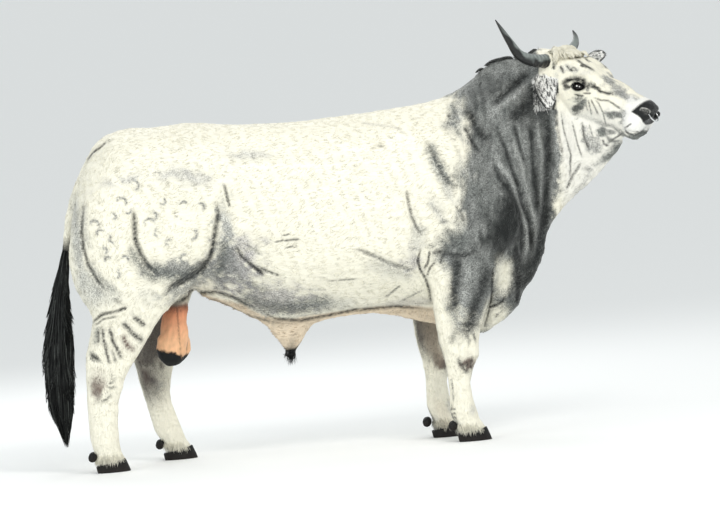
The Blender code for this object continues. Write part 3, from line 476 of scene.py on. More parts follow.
@dataclass(frozen=True)
class Stroke:
    """A fold or dark line in the side view: its path, half width, depth, darkness and colour."""

    path: tuple[Spot, ...]
    width: float = 0.010
    depth: float = 0.004
    dark: float = 0.5
    colour: Colour = INK

    def strength(self, spots: np.ndarray, width: float) -> tuple[np.ndarray, np.ndarray]:
        """How much each spot is on the line, faded at both ends, and its signed distance.

        Args:
            spots: places in the side view, one row each.
            width: half width of the line in metres.

        Returns:
            Shares from 0 to 1, and distances to the left of the line.
        """
        path = np.array(self.path)
        reach = 4.0 * width
        low, high = path.min(0) - reach, path.max(0) + reach
        near = np.all((spots > low) & (spots < high), axis=1)
        on = np.zeros(len(spots))
        signed = np.full(len(spots), 1.0)
        if near.any():
            far, share, side = path_distance(spots[near], path)
            ends = smooth(share, -0.02, 0.18) * smooth(share, 1.02, 0.82)
            on[near] = np.exp(-((far / width) ** 2)) * ends
            signed[near] = np.where(ends > 0.01, np.sign(side) * far / np.maximum(ends, 0.2), 1.0)
        return on, signed


@dataclass(frozen=True)
class Patch:
    """A soft oval of colour in the side view."""

    middle: Spot
    radii: Spot
    strength: float
    colour: Colour = GREY
    turn: float = 0.0
    ragged: float = 0.25

    def share(self, spots: np.ndarray, waves: np.ndarray) -> np.ndarray:
        """How much of the colour each spot takes.

        Args:
            spots: places in the side view, one row each.
            waves: irregular waves at each spot, about -1 to 1.

        Returns:
            One share for each place.
        """
        c, s = math.cos(math.radians(self.turn)), math.sin(math.radians(self.turn))
        away = spots - np.array(self.middle)
        along = (away[:, 0] * c + away[:, 1] * s) / self.radii[0]
        over = (away[:, 1] * c - away[:, 0] * s) / self.radii[1]
        far = np.sqrt(along**2 + over**2) + self.ragged * waves
        return self.strength * smooth(far, 1.25, 0.35)


@dataclass(frozen=True)
class Ear:
    """An ear's run from root to tip and the way its cup faces."""

    side: Side
    tip: Point
    facing: Point
    breadth: float = 0.112
    edge: float = 0.82

    def root(self) -> np.ndarray:
        """Where the ear grows from the head."""
        return np.array(HEAD.place(0.030, -0.124, 0.120 * self.side.value))

    def read(self, points: np.ndarray) -> tuple[np.ndarray, np.ndarray]:
        """Share of the way to the tip, and how far across as a share of the half breadth there.

        Args:
            points: places, one row each.

        Returns:
            The share of the way and the share across, for each point.
        """
        run = np.array(self.tip) - self.root()
        share = (points - self.root()) @ run / (run @ run)
        across = unit(np.cross(run, np.array(self.facing)))
        half = 0.5 * self.breadth * np.sqrt(np.clip(1 - ((share - 0.42) / 0.62) ** 2, 0.05, 1))
        return share, ((points - self.root()) @ across) / half

    def tone(self, points: np.ndarray, normals: np.ndarray) -> np.ndarray:
        """Colour of the ear: white and streaked inside, dark at the rim, grey behind.

        Args:
            points: places, one row each.
            normals: the outward directions there.

        Returns:
            One colour for each place.
        """
        share, across = self.read(points)
        inside = smooth(normals @ unit(np.array(self.facing)), 0.0, 0.4)[:, None]
        rim = smooth(np.abs(across), self.edge, self.edge + 0.14)
        rim = np.maximum(rim, smooth(across + share, self.edge + 0.26, self.edge + 0.46))
        rim = np.maximum(rim * smooth(share, 0.14, 0.42), smooth(share, self.edge + 0.08, self.edge + 0.17))[:, None]
        strands_at = np.stack([across * 0.056 + share * 0.006, share * 0.028], axis=1)
        streak = smooth(ripple(strands_at, 0.0075, 55), 0.05, 0.55)[:, None]
        cup = np.array(WHITE) * (1 - 0.95 * streak) + np.array(DEEP) * 0.95 * streak
        back = np.array(SLATE) * 0.9
        tone = blend(back, cup, inside)
        return blend(tone, DEEP, rim)


EARS = (
    Ear(Side.RIGHT, (0.926, -0.268, 1.458), (0.34, -0.90, 0.28)),
    Ear(Side.LEFT, (1.226, 0.172, 1.664), (0.50, -0.62, -0.45)),
)


# The coat's markings


def path_of(marks: tuple[int, ...]) -> tuple[Spot, ...]:
    """Places in metres from marks in millimetres: x and z in turn."""
    return tuple((x / MM, z / MM) for x, z in zip(marks[::2], marks[1::2]))


def fold(width: float, dark: float, depth: float, *marks: int) -> Stroke:
    """A fold of the hide, pressed in, with its shadow painted along it."""
    return Stroke(path_of(marks), width, depth, dark)


def tint(width: float, dark: float, colour: Colour, *marks: int) -> Stroke:
    """A soft band of colour with no depth; some are markings of the coat and some are painted shade."""
    return Stroke(path_of(marks), width, 0.0, dark, colour)


def ridge(width: float, light: float, height: float, *marks: int) -> Stroke:
    """A raised fold with a painted highlight along it."""
    return Stroke(path_of(marks), width, -height, light, ASH)


def neck_strokes() -> list[Stroke]:
    """Folds of the neck, shoulder and brisket in the side view.

    Returns:
        The strokes.
    """
    return [
        ridge(0.02, 0.5, 0.004, 855, 1585, 810, 1547, 731, 1504, 678, 1467, 640, 1430),
        ridge(0.011, 0.8, 0.006, 655, 1290, 675, 1242, 734, 1154, 760, 1069, 778, 984, 787, 900, 768, 770),
        ridge(0.01, 0.62, 0.006, 749, 1350, 788, 1199, 802, 1073, 821, 997, 832, 929, 816, 847, 793, 755),
        ridge(0.011, 0.42, 0.005, 865, 1420, 885, 1258, 876, 1159, 864, 1060, 852, 977, 829, 880),
        ridge(0.01, 0.42, 0.003, 947, 1430, 955, 1302, 947, 1202, 923, 1121, 889, 1016),
        ridge(0.014, 0.3, 0.002, 820, 1400, 812, 1300, 830, 1180),
        tint(0.028, 0.9, DEEP, 905, 1060, 877, 975, 854, 894, 828, 796, 771, 709, 725, 640),
        tint(0.02, 0.6, DEEP, 690, 1190, 727, 1071, 750, 945, 749, 816),
        fold(0.018, 0.97, 0.012, 916, 1470, 918, 1347, 907, 1223, 892, 1099, 870, 992, 845, 880),
        fold(0.034, 0.97, 0.012, 880, 1585, 873, 1559, 847, 1494, 793, 1449, 745, 1415),
        fold(0.02, 0.95, 0.01, 868, 1636, 805, 1590, 743, 1545, 675, 1488),
        fold(0.01, 0.92, 0.008, 680, 1410, 719, 1293, 735, 1219, 760, 1136, 772, 1045, 800, 960, 806, 777),
        fold(0.007, 0.75, 0.006, 764, 1410, 787, 1291, 802, 1214),
        fold(0.013, 0.92, 0.008, 816, 1428, 843, 1345, 838, 1210, 842, 1098, 845, 960),
        fold(0.012, 0.92, 0.007, 650, 1250, 693, 1142, 729, 1098, 758, 1010, 765, 900, 750, 780),
        tint(0.024, 0.85, DEEP, 567, 1505, 590, 1416, 619, 1364, 668, 1330),
        fold(0.01, 0.85, 0.005, 543, 1420, 575, 1334, 608, 1275), fold(0.007, 0.8, 0.006, 478, 1480, 482, 1450),
        tint(0.018, 0.62, SLATE, 500, 1540, 500, 1440, 520, 1360),
        tint(0.024, 0.8, SLATE, 376, 1362, 410, 1257, 438, 1196, 482, 1126),
        fold(0.007, 0.35, 0.004, 376, 1350, 402, 1270, 430, 1196, 476, 1130),
        tint(0.014, 0.45, GREY, 355, 1095, 391, 1034, 425, 970),
        fold(0.008, 0.6, 0.003, 474, 1062, 498, 1016, 509, 975),
        fold(0.007, 0.62, 0.007, 262, 1160, 266, 1090, 272, 1034, 295, 968, 322, 928),
        tint(0.02, 0.25, GREY, 275, 1080, 290, 1000, 325, 950),
        tint(0.013, 0.8, INK, 335, 840, 376, 862, 408, 851, 449, 837, 498, 833, 570, 858),
        fold(0.0055, 0.95, 0.008, 309, 890, 285, 826, 294, 784, 316, 740, 327, 690, 332, 620),
        fold(0.005, 0.9, 0.006, 345, 872, 330, 814, 308, 785), fold(0.005, 0.8, 0.005, 366, 816, 336, 789, 320, 752),
        fold(0.005, 0.6, 0.004, 409, 848, 390, 825, 384, 800),
        tint(0.024, 0.92, INK, 462, 850, 459, 761, 435, 680, 437, 630, 405, 570),
        tint(0.028, 0.92, INK, 610, 800, 559, 669, 521, 606, 497, 525, 445, 462),
        tint(0.016, 0.5, ASH, 515, 800, 485, 676, 470, 594, 458, 528), tint(0.012, 0.55, INK, 430, 500, 402, 450),
        tint(0.006, 0.6, INK, 505, 485, 515, 440), tint(0.006, 0.6, INK, 480, 480, 485, 430),
        tint(0.015, 0.62, INK, 717, 760, 712, 700, 690, 640, 670, 605),
        fold(0.005, 0.92, 0.008, 622, 775, 610, 700, 597, 600),
        fold(0.006, 0.92, 0.01, 580, 590, 620, 596, 650, 610, 672, 640),
        tint(0.02, 0.95, BLACK, 735, 860, 732, 697, 712, 570), fold(0.004, 0.85, 0.006, 604, 640, 585, 570, 556, 490),
        tint(0.004, 0.6, INK, 610, 540, 650, 575),
    ]


def barrel_strokes() -> list[Stroke]:
    """Lines of the back, ribs, belly and flank in the side view.

    Returns:
        The strokes.
    """
    return [
        tint(0.006, 0.35, GREY, 73, 1470, 236, 1433, 303, 1378),
        fold(0.007, 0.8, 0.006, -460, 674, -373, 622, -266, 604, -133, 617, -22, 631, 178, 631, 345, 600),
        fold(0.008, 0.85, 0.008, -850, 712, -770, 752, -700, 768, -632, 766, -557, 737, -440, 660),
        tint(0.006, 0.6, INK, -695, 749, -598, 709, -517, 656, -412, 616, -330, 600),
        fold(0.009, 0.8, 0.009, -527, 970, -496, 909, -456, 867, -405, 820),
        tint(0.006, 0.8, BLACK, -470, 882, -425, 845, -405, 820),
        fold(0.006, 0.8, 0.005, -440, 866, -389, 836, -330, 810),
        tint(0.009, 0.4, SLATE, -470, 960, -430, 935, -400, 905),
        fold(0.005, 0.75, 0.003, -355, 964, -300, 968, -225, 967), fold(0.004, 0.6, 0.003, -315, 988, -265, 996),
        fold(0.004, 0.6, 0.003, -310, 932, -240, 942), fold(0.004, 0.5, 0.002, -135, 770, 20, 769),
        tint(0.004, 0.4, GREY, -283, 749, -127, 730), fold(0.009, 0.55, 0.005, 2, 908, 81, 870, 167, 821, 275, 776),
        tint(0.022, 0.3, GREY, 60, 875, 167, 815, 285, 770), fold(0.005, 0.6, 0.003, 124, 672, 205, 727),
        tint(0.004, 0.55, INK, 190, 650, 305, 696),
        tint(0.036, 0.72, SLATE, -560, 765, -490, 725, -422, 686, -331, 663, -253, 664, -80, 690),
        tint(0.02, 0.45, SLATE, -560, 840, -480, 790, -380, 735),
    ]


def quarter_strokes() -> list[Stroke]:
    """Folds of the thigh, buttock and hind legs in the side view.

    Returns:
        The strokes.
    """
    return [
        tint(0.032, 0.45, GREY, -564, 1100, -560, 1003, -560, 928, -530, 863, -460, 819),
        tint(0.03, 0.7, SLATE, -575, 1010, -575, 940, -590, 880, -640, 830),
        fold(0.007, 0.85, 0.009, -1180, 1215, -1195, 1150, -1203, 1080, -1201, 1010, -1186, 935, -1156, 871, -1110,
            800),
        tint(0.018, 0.5, SLATE, -1182, 960, -1154, 895, -1112, 838, -1060, 800),
        tint(0.014, 0.4, GREY, -1185, 1230, -1186, 1100, -1180, 980),
        fold(0.011, 0.85, 0.011, -960, 1180, -963, 1101, -966, 1031, -947, 960, -914, 901, -860, 852),
        tint(0.026, 0.6, SLATE, -990, 1010, -972, 940, -932, 880, -870, 830),
        tint(0.034, 0.8, SLATE, -930, 925, -880, 880, -815, 858, -750, 850, -690, 872, -645, 915),
        fold(0.011, 0.88, 0.011, -589, 1180, -587, 1106, -603, 1050, -618, 990, -640, 921, -690, 865, -756, 826, -822,
            800, -875, 750),
        tint(0.014, 0.6, INK, -640, 930, -700, 875, -780, 835, -860, 790),
        fold(0.007, 0.75, 0.006, -549, 1250, -541, 1191, -530, 1130),
        fold(0.005, 0.9, 0.006, -1163, 1398, -1127, 1437, -1080, 1465, -1058, 1484),
        tint(0.004, 0.7, BLACK, -1050, 1492, -1044, 1478),
        fold(0.007, 0.85, 0.007, -1200, 672, -1170, 688, -1141, 709, -1079, 714, -1020, 735),
        fold(0.005, 0.6, 0.004, -1186, 656, -1140, 686, -1070, 694), tint(0.01, 0.5, INK, -1080, 780, -1060, 745),
        tint(0.018, 0.62, SLATE, -1170, 660, -1176, 620, -1186, 565),
        tint(0.007, 0.85, BLACK, -1148, 662, -1146, 586, -1128, 470),
        tint(0.006, 0.75, BLACK, -1166, 640, -1172, 580),
        tint(0.009, 0.85, BLACK, -1118, 655, -1105, 582, -1068, 492), tint(0.004, 0.7, BLACK, -1120, 560, -1095, 480),
        tint(0.012, 0.85, INK, -1060, 674, -1017, 614, -968, 566), tint(0.011, 0.85, INK, -1006, 690, -953, 637),
        tint(0.014, 0.8, COCOA, -1062, 615, -1043, 556, -1008, 528),
        tint(0.004, 0.45, INK, -1125, 460, -1124, 425, -1138, 395), tint(0.005, 0.75, INK, -1148, 395, -1110, 404),
        tint(0.004, 0.7, INK, -1150, 375, -1115, 382), tint(0.004, 0.7, INK, -1190, 318, -1160, 324, -1128, 352),
    ]


def leg_strokes() -> list[Stroke]:
    """Marks of the forelegs and feet in the side view.

    Returns:
        The strokes.
    """
    return [
        tint(0.008, 0.7, INK, 425, 388, 436, 345, 470, 296), tint(0.006, 0.75, BLACK, 447, 360, 450, 330),
        tint(0.006, 0.75, BLACK, 466, 362, 468, 325), tint(0.007, 0.75, BLACK, 488, 368, 480, 318),
        tint(0.0035, 0.65, INK, 390, 300, 394, 236, 392, 175), tint(0.0035, 0.75, BLACK, 368, 147, 405, 148),
        tint(0.0035, 0.75, BLACK, 368, 128, 400, 128), tint(0.0035, 0.75, BLACK, 376, 110, 392, 112, 402, 100),
        tint(0.006, 0.6, INK, 408, 74, 426, 48),
    ]


def face_strokes() -> list[Stroke]:
    """Brow, wrinkles, cheek folds and the line of the mouth in the side view.

    Returns:
        The strokes.
    """
    return [
        fold(0.011, 0.99, 0.0045, 996, 1550, 1006, 1564, 1022, 1575, 1054, 1581, 1086, 1574, 1112, 1552),
        tint(0.0075, 0.8, BLACK, 1004, 1560, 1022, 1572, 1054, 1578, 1084, 1571, 1106, 1554),
        tint(0.007, 0.85, BLACK, 1002, 1553, 1020, 1548, 1036, 1540),
        tint(0.009, 0.8, BLACK, 1086, 1566, 1104, 1546, 1120, 1530),
        fold(0.0035, 0.92, 0.004, 1086, 1512, 1106, 1509, 1126, 1508),
        tint(0.0035, 0.8, BLACK, 1045, 1512, 1070, 1503, 1094, 1500), tint(0.003, 0.7, INK, 1126, 1566, 1132, 1530),
        tint(0.003, 0.7, INK, 1116, 1562, 1120, 1540), tint(0.0035, 0.85, BLACK, 1144, 1555, 1142, 1520),
        tint(0.003, 0.6, INK, 1136, 1550, 1138, 1535),
        fold(0.0065, 0.88, 0.005, 1112, 1540, 1148, 1533, 1160, 1515, 1189, 1503, 1228, 1493),
        tint(0.008, 0.8, INK, 1150, 1535, 1166, 1517),
        fold(0.0045, 0.75, 0.004, 1128, 1491, 1164, 1473, 1197, 1468, 1227, 1444, 1262, 1416),
        fold(0.0032, 0.8, 0.003, 1108, 1484, 1118, 1410), fold(0.0036, 0.85, 0.003, 1119, 1484, 1150, 1405),
        fold(0.003, 0.65, 0.003, 1136, 1482, 1153, 1460, 1170, 1416, 1178, 1350),
        tint(0.003, 0.55, INK, 1098, 1470, 1102, 1430),
        fold(0.0036, 0.6, 0.004, 982, 1455, 990, 1350, 1013, 1239, 998, 1120),
        fold(0.006, 0.45, 0.005, 955, 1500, 962, 1420, 965, 1330, 978, 1230),
        fold(0.0034, 0.6, 0.004, 1028, 1400, 1045, 1290, 1064, 1218),
        fold(0.006, 0.7, 0.005, 1072, 1390, 1079, 1309, 1100, 1252), fold(0.0034, 0.5, 0.004, 1104, 1375, 1119, 1300),
        fold(0.0055, 0.8, 0.005, 1060, 1212, 1030, 1168, 1011, 1146, 976, 1082),
        fold(0.004, 0.45, 0.003, 1010, 1240, 1002, 1190), tint(0.01, 0.4, GREY, 1110, 1180, 1060, 1110, 1000, 1060),
        fold(0.0035, 0.85, 0.004, 1292, 1358, 1275, 1347, 1256, 1338),
        fold(0.005, 0.95, 0.006, 1256, 1338, 1264, 1322, 1274, 1312, 1294, 1305, 1325, 1311, 1360, 1334, 1388, 1352),
        fold(0.004, 0.85, 0.004, 1176, 1278, 1215, 1299, 1254, 1320),
        tint(0.005, 0.85, BLACK, 1160, 1304, 1163, 1280, 1182, 1266),
        tint(0.015, 0.88, SLATE, 1262, 1298, 1313, 1292, 1350, 1308, 1375, 1335),
        tint(0.011, 0.7, SLATE, 1130, 1190, 1165, 1225, 1200, 1262, 1250, 1290),
        tint(0.0055, 0.9, INK, 1064, 1674, 1102, 1640, 1152, 1606), tint(0.0045, 0.8, INK, 1104, 1682, 1132, 1647),
        tint(0.005, 0.85, INK, 1082, 1640, 1118, 1625), tint(0.0065, 0.9, INK, 972, 1662, 967, 1630),
        tint(0.006, 0.9, INK, 998, 1648, 1012, 1606), tint(0.0055, 0.9, INK, 1024, 1645, 1053, 1610),
        tint(0.005, 0.8, INK, 1050, 1636, 1075, 1610),
    ]


def strokes() -> list[Stroke]:
    """All folds and lines of the hide, laid out in the side view."""
    return neck_strokes() + barrel_strokes() + quarter_strokes() + leg_strokes() + face_strokes()


def patches() -> list[Patch]:
    """Soft patches of the coat's own colour and of painted shade and light, laid out in the side view.

    Returns:
        The patches.
    """
    rows = (
        (-530, 880, 120, 140, 0.75, LILAC, -40, 0.5), (-585, 880, 50, 110, 0.55, SLATE, -10, 0.7),
        (-560, 1060, 40, 110, 0.75, ASH, 4, 0.7), (-360, 705, 200, 70, 0.62, LILAC, -12, 0.5),
        (-150, 665, 200, 34, 0.45, ASH, -3), (-790, 880, 135, 50, 0.85, GREY, -6, 0.5),
        (-730, 810, 160, 34, 0.7, GREY, 26, 0.7), (-1228, 1060, 30, 230, 0.75, ASH, 0, 0.2),
        (-1190, 830, 65, 120, 0.62, ASH, 22, 0.1), (-1110, 800, 85, 50, 0.38, ASH, -35),
        (-985, 1298, 120, 19, 0.8, PALE_GREY, 10, 0.5), (-790, 1305, 110, 28, 0.85, PALE_GREY, -4, 0.5),
        (-660, 1275, 75, 40, 0.85, PALE_GREY, -20, 0.5), (-435, 1366, 105, 22, 0.85, PALE_GREY, 0, 0.5),
        (-935, 770, 50, 60, 0.3, ASH, 50), (150, 790, 120, 40, 0.32, ASH, -24),
        (255, 825, 45, 65, 0.55, LILAC, 30, 0.5), (220, 640, 130, 24, 0.35, LILAC, 0),
        (290, 930, 40, 60, 0.4, ASH, 0, 0.6), (430, 1180, 30, 140, 0.5, ASH, 22, 0.5),
        (470, 1290, 22, 80, 0.45, CREAM, 25, 0.5), (395, 1060, 40, 70, 0.3, ASH, 25),
        (460, 905, 115, 60, 0.9, SLATE, 4, 0.5), (705, 960, 85, 170, 0.97, DEEP, -6, 0.3),
        (640, 890, 85, 90, 0.7, DEEP, 0, 0.4), (670, 1570, 130, 45, 0.45, INK, 30, 0.4),
        (860, 1440, 60, 80, 0.6, DEEP, -30, 0.3), (800, 800, 50, 150, 0.75, DEEP, -20, 0.3),
        (520, 1440, 30, 110, 0.35, ASH, 12, 0.5), (540, 1120, 50, 130, 0.55, SLATE, 20, 0.7),
        (600, 1000, 90, 60, 0.45, INK, 20, 0.6), (620, 1080, 70, 80, 0.25, SLATE, 0, 0.4),
        (860, 1180, 60, 200, 0.25, INK, 0, 0.3), (395, 740, 34, 60, 0.85, CREAM, 0, 0.3),
        (362, 600, 30, 160, 0.95, CREAM, 2, 0.1), (570, 560, 20, 110, 0.7, CREAM, -24, 0.1),
        (668, 722, 50, 92, 0.97, CREAM, -8, 0.15), (705, 680, 20, 60, 0.45, ASH, -8, 0.3),
        (622, 540, 58, 68, 0.97, CREAM, -20, 0.1), (468, 345, 46, 38, 0.88, COCOA, 10, 0.5),
        (486, 300, 20, 26, 0.45, GREY, 0, 0.5), (476, 140, 18, 30, 0.62, PALE_GREY, 0, 0.2),
        (400, 75, 30, 22, 0.4, ASH, 0), (-1198, 516, 30, 19, 0.95, INK, 0, 0.6),
        (-1192, 392, 34, 74, 0.97, COCOA, 0, 0.35), (-1165, 345, 30, 22, 0.4, ASH, 0, 0.5),
        (1062, 1482, 34, 26, 0.7, SLATE, -10, 0.4), (1056, 1447, 24, 36, 0.9, INK, -8, 0.5),
        (1088, 1470, 16, 24, 0.75, SLATE, -20, 0.4), (1012, 1548, 16, 16, 0.8, INK, 0, 0.3),
        (1112, 1526, 14, 16, 0.7, SLATE, -30, 0.3), (1130, 1545, 24, 16, 0.55, SLATE, -30, 0.4),
        (1225, 1405, 52, 22, 0.9, SLATE, -10, 0.4), (1268, 1385, 22, 45, 0.7, SLATE, -20, 0.4),
        (1150, 1332, 36, 20, 0.92, SLATE, -4, 0.4), (1205, 1328, 22, 10, 0.75, SLATE, -6, 0.4),
        (1110, 1290, 36, 60, 0.65, GREY, 20, 0.4), (1125, 1250, 30, 20, 0.75, GREY, 20, 0.4),
        (1045, 1622, 80, 24, 0.5, PALE_GREY, -12, 0.4), (1200, 1566, 40, 16, 0.85, GREY, -30, 0.3),
        (1235, 1520, 60, 32, 0.8, GREY, -38, 0.3), (1280, 1478, 60, 24, 0.9, GREY, -34, 0.3),
        (1325, 1456, 34, 14, 0.7, SLATE, -28, 0.3), (1335, 1310, 62, 14, 0.85, SLATE, 26, 0.2),
        (1190, 1242, 60, 18, 0.7, SLATE, 42, 0.3), (1110, 1185, 50, 16, 0.6, GREY, 25, 0.4),
        (975, 1560, 14, 80, 0.35, ASH, 0, 0.3), (1010, 1330, 30, 120, 0.25, PALE_GREY, 0, 0.3),
    )
    return [Patch((x / MM, z / MM), (wide / MM, tall / MM), *rest) for x, z, wide, tall, *rest in rows]


def curls() -> list[Patch]:
    """The round curls of hair on the thigh, each shown by an arc of painted shade: middle, size and turn of each.

    Returns:
        The curls.
    """
    rings = (
        (-0.953, 1.270, 0.030, 20), (-1.013, 1.199, 0.030, 60), (-1.055, 1.139, 0.017, 0),
        (-1.142, 1.111, 0.026, 70), (-1.118, 1.072, 0.020, 130), (-0.871, 1.128, 0.018, 0),
        (-0.895, 1.095, 0.030, 100), (-0.864, 1.051, 0.019, 180), (-0.782, 1.120, 0.017, -20),
        (-0.814, 1.002, 0.018, 140), (-0.709, 1.030, 0.028, -20), (-0.752, 0.925, 0.026, 160),
        (-1.108, 0.990, 0.018, 20), (-1.095, 0.949, 0.018, 120), (-1.065, 1.040, 0.020, 200),
        (-1.018, 0.945, 0.018, 60), (-0.985, 1.160, 0.015, -60), (-0.735, 1.170, 0.015, 90),
        (-0.660, 1.150, 0.020, 30), (-0.830, 1.190, 0.018, -30), (-1.060, 0.880, 0.016, 0),
    )
    return [Patch((x, z), (size, size), 0.95, GREY, turn) for x, z, size, turn in rings]


@dataclass(frozen=True)
class Markings:
    """Colours of skin and coat at any place on the bull, with painted shade and light laid among the markings."""

    rear: tuple[Spot, ...] = (
        (1.75, 0.560), (1.65, 0.520), (1.556, 0.482), (1.477, 0.496), (1.395, 0.508), (1.302, 0.528),
        (1.218, 0.535), (1.121, 0.512), (1.037, 0.462), (0.928, 0.410), (0.842, 0.370), (0.700, 0.385),
        (0.600, 0.400), (0.470, 0.410),
    )
    front: tuple[Spot, ...] = (
        (1.75, 0.900), (1.660, 0.895), (1.600, 0.910), (1.520, 0.935), (1.441, 0.950), (1.315, 0.962),
        (1.224, 0.968), (1.155, 0.968), (1.088, 0.948), (1.022, 0.920), (0.960, 0.920), (0.900, 0.960),
    )
    belly_line: tuple[Spot, ...] = ((-0.70, 0.752), (-0.52, 0.690), (-0.43, 0.632), (-0.32, 0.606), (-0.10, 0.620),
                                    (0.10, 0.628), (0.25, 0.618), (0.35, 0.600))
    lines: list[Stroke] = field(default_factory=strokes)
    shades: list[Patch] = field(default_factory=patches)
    rings: list[Patch] = field(default_factory=curls)

    def slate(self, spots: np.ndarray, points: np.ndarray) -> np.ndarray:
        """How far the dark of the neck and shoulder covers each spot.

        Args:
            spots: places in the side view, one row each.
            points: places, one row each.

        Returns:
            Shares from 0 to 1.
        """
        x, z = spots.T
        waves = 0.030 * ripple(points, 0.12, 3) + 0.012 * ripple(points, 0.035, 4)
        rear = np.interp(z, *np.array(self.rear[::-1]).T)
        front = np.interp(z, *np.array(self.front[::-1]).T)
        over = smooth(x - rear + 1.3 * waves, -0.030, 0.070) * smooth(front - x + 0.5 * waves, -0.004, 0.012)
        return over * smooth(z + waves, 0.445, 0.560)

    def base(self, spots: np.ndarray, points: np.ndarray) -> np.ndarray:
        """The coat before folds: cream, the slate neck and shoulder, and soft patches of colour and of painted shade
        and light.

        Args:
            spots: places in the side view, one row each.
            points: places, one row each.

        Returns:
            One colour for each place.
        """
        x, z = spots.T
        waves = ripple(points, 0.060, 7) * 0.6 + ripple(points, 0.022, 8) * 0.4
        colours = np.tile(np.array(CREAM), (len(points), 1))
        throat = (0.60 * smooth(x, 0.93, 0.99) * smooth(z, 1.50, 1.40))[:, None]
        colours = blend(colours, np.array(WHITE) * 0.93, throat)
        dark = self.slate(spots, points)
        streak = ripple(np.stack([x, z * 0.22], axis=1), 0.030, 11)
        light = np.clip(0.34 + 0.16 * streak + 0.16 * waves + 0.22 * smooth(x, 0.62, 0.50), 0, 1)[:, None]
        tone = blend(np.array(SLATE) * 0.80, np.array(ASH) * 0.84, light)
        cover = dark[:, None]
        colours = blend(colours, tone, cover)
        for patch in self.shades:
            share = patch.share(spots, waves)[:, None]
            colours = blend(colours, patch.colour, share)
        return colours

    def lay(self, points: np.ndarray, normals: np.ndarray) -> np.ndarray:
        """Colour of the coat at each place.

        Args:
            points: places on the skin.
            normals: the skin's outward directions there.

        Returns:
            One colour in linear light for each place.
        """
        spots = SIDE_VIEW.spots(points)
        colours = self.base(spots, points)
        colours = self.legs(colours, points, normals)
        colours = self.belly(colours, points)
        colours = self.face(colours, points, normals)
        grain = 1 + 0.30 * ripple(points, 0.010, 21) + 0.15 * ripple(points, 0.030, 22)
        low = smooth(points[:, 2], 0.78, 0.66) * (np.abs(spots[:, 0] + 0.2) > 0.4)
        outer = smooth(normals[:, 1] * np.sign(points[:, 1]), -0.15, 0.25)
        grain = grain * (1 - low * (1 - outer))
        # The lines are dark marks of the coat, the folds' painted shadows and the ridges' painted highlights.
        for line in self.lines:
            on, _ = line.strength(spots, line.width)
            share = np.clip(line.dark * on * grain, 0, 0.97)[:, None]
            colours = blend(colours, line.colour, share)
        # Each curl is shown by a grey arc on one side: painted shade of the raised curl.
        for ring in self.rings:
            away = spots - np.array(ring.middle)
            far = np.hypot(away[:, 0], away[:, 1])
            turned = np.arctan2(away[:, 1], away[:, 0]) - math.radians(ring.turn)
            arc = smooth(np.cos(turned), -0.55, 0.35)
            share = ring.strength * arc * np.exp(-(((far - ring.radii[0] * 0.75) / 0.0055) ** 2))
            colours = blend(colours, ring.colour, share[:, None])
        return np.clip(self.pad(colours, points, normals), 0.003, 0.97)

    def legs(self, colours: np.ndarray, points: np.ndarray, normals: np.ndarray) -> np.ndarray:
        """Adds painted shade on the legs' inner sides, where they face each other, most toward the back of the far hind
        leg, and the dark rim above the hooves.

        Args:
            colours: the colours so far, one row each.
            points: places, one row each.
            normals: the outward directions there.

        Returns:
            The changed colours.
        """
        x, y, z = points.T
        # Grey-brown painted shade where the legs face each other, and toward the back of the far hind leg.
        inner = smooth(-normals[:, 1] * np.sign(y), 0.05, 0.6) * smooth(np.abs(y), 0.02, 0.10)
        waves = ripple(points, 0.05, 31)
        fore = smooth(z + 0.03 * waves, 0.30, 0.42) * smooth(z, 0.80, 0.62) * (x > 0)
        hind = smooth(z + 0.04 * waves, 0.42, 0.55) * smooth(z, 0.90, 0.74) * (x < -0.6)
        rear = smooth(x - np.interp(z, (0.2, 0.5, 0.7), (-0.96, -0.93, -0.88)), 0.10, -0.02) * (x < -0.6) * (y > 0)
        rear *= smooth(z, 0.20, 0.34) * smooth(z, 0.90, 0.74)
        share = np.clip(0.94 * inner * (fore + hind) + 0.72 * inner * rear, 0, 0.94)[:, None]
        tone = np.array(BROWN) * 0.22 + np.array(SLATE) * 0.30
        colours = blend(colours, tone, share)
        rim = (0.30 * smooth(z, 0.060, 0.045))[:, None]
        return blend(colours, np.array(GREY) * 0.8, rim)

    def belly(self, colours: np.ndarray, points: np.ndarray) -> np.ndarray:
        """Adds the bare pouch with painted shade in its grooves and at its top, the tan fold under the belly and the
        sheath, and the tail's root.

        Args:
            colours: the colours so far, one row each.
            points: places, one row each.

        Returns:
            The changed colours.
        """
        x, y, z = points.T
        waves = ripple(points, 0.03, 41)
        line = np.interp(x, *np.array(self.belly_line).T)
        fold = smooth(line - z, -0.004, 0.006) * smooth(x, -0.80, -0.70)
        fold = fold * smooth(x, 0.46, 0.42) * smooth(np.abs(y), 0.16, 0.10)
        tan = np.array(TAN)[None] * (1 - 0.10 * np.clip(waves, -1, 1))[:, None]
        share = fold[:, None] * 0.95
        colours = blend(colours, tan, share)
        mouth = smooth(z, 0.486, 0.468) * (np.abs(x + 0.316) < 0.08)
        colours = blend(colours, BLACK, mouth[:, None])
        pouch = pouch_share(points, 0.735, 0.700)
        bulb = smooth(z, 0.72, 0.52)[:, None]
        skin = blend(np.array(ORANGE), PEACH, bulb)
        skin = skin * (1 - 0.07 * np.clip(waves, -1, 1))[:, None]
        # The pouch is darkened down its middle groove and along a crease on its sides: painted shade.
        seam = 0.8 * np.exp(-((y / 0.0055) ** 2))
        seam = seam + 0.75 * np.exp(-(((x + 0.812) / 0.0035) ** 2)) * smooth(z, 0.46, 0.50)
        skin = skin * (1 - 0.75 * np.clip(seam, 0, 1))[:, None]
        tip = smooth(z + 0.006 * waves + 0.30 * (x + 0.832), 0.502, 0.490)[:, None]
        skin = blend(skin, BLACK, tip)
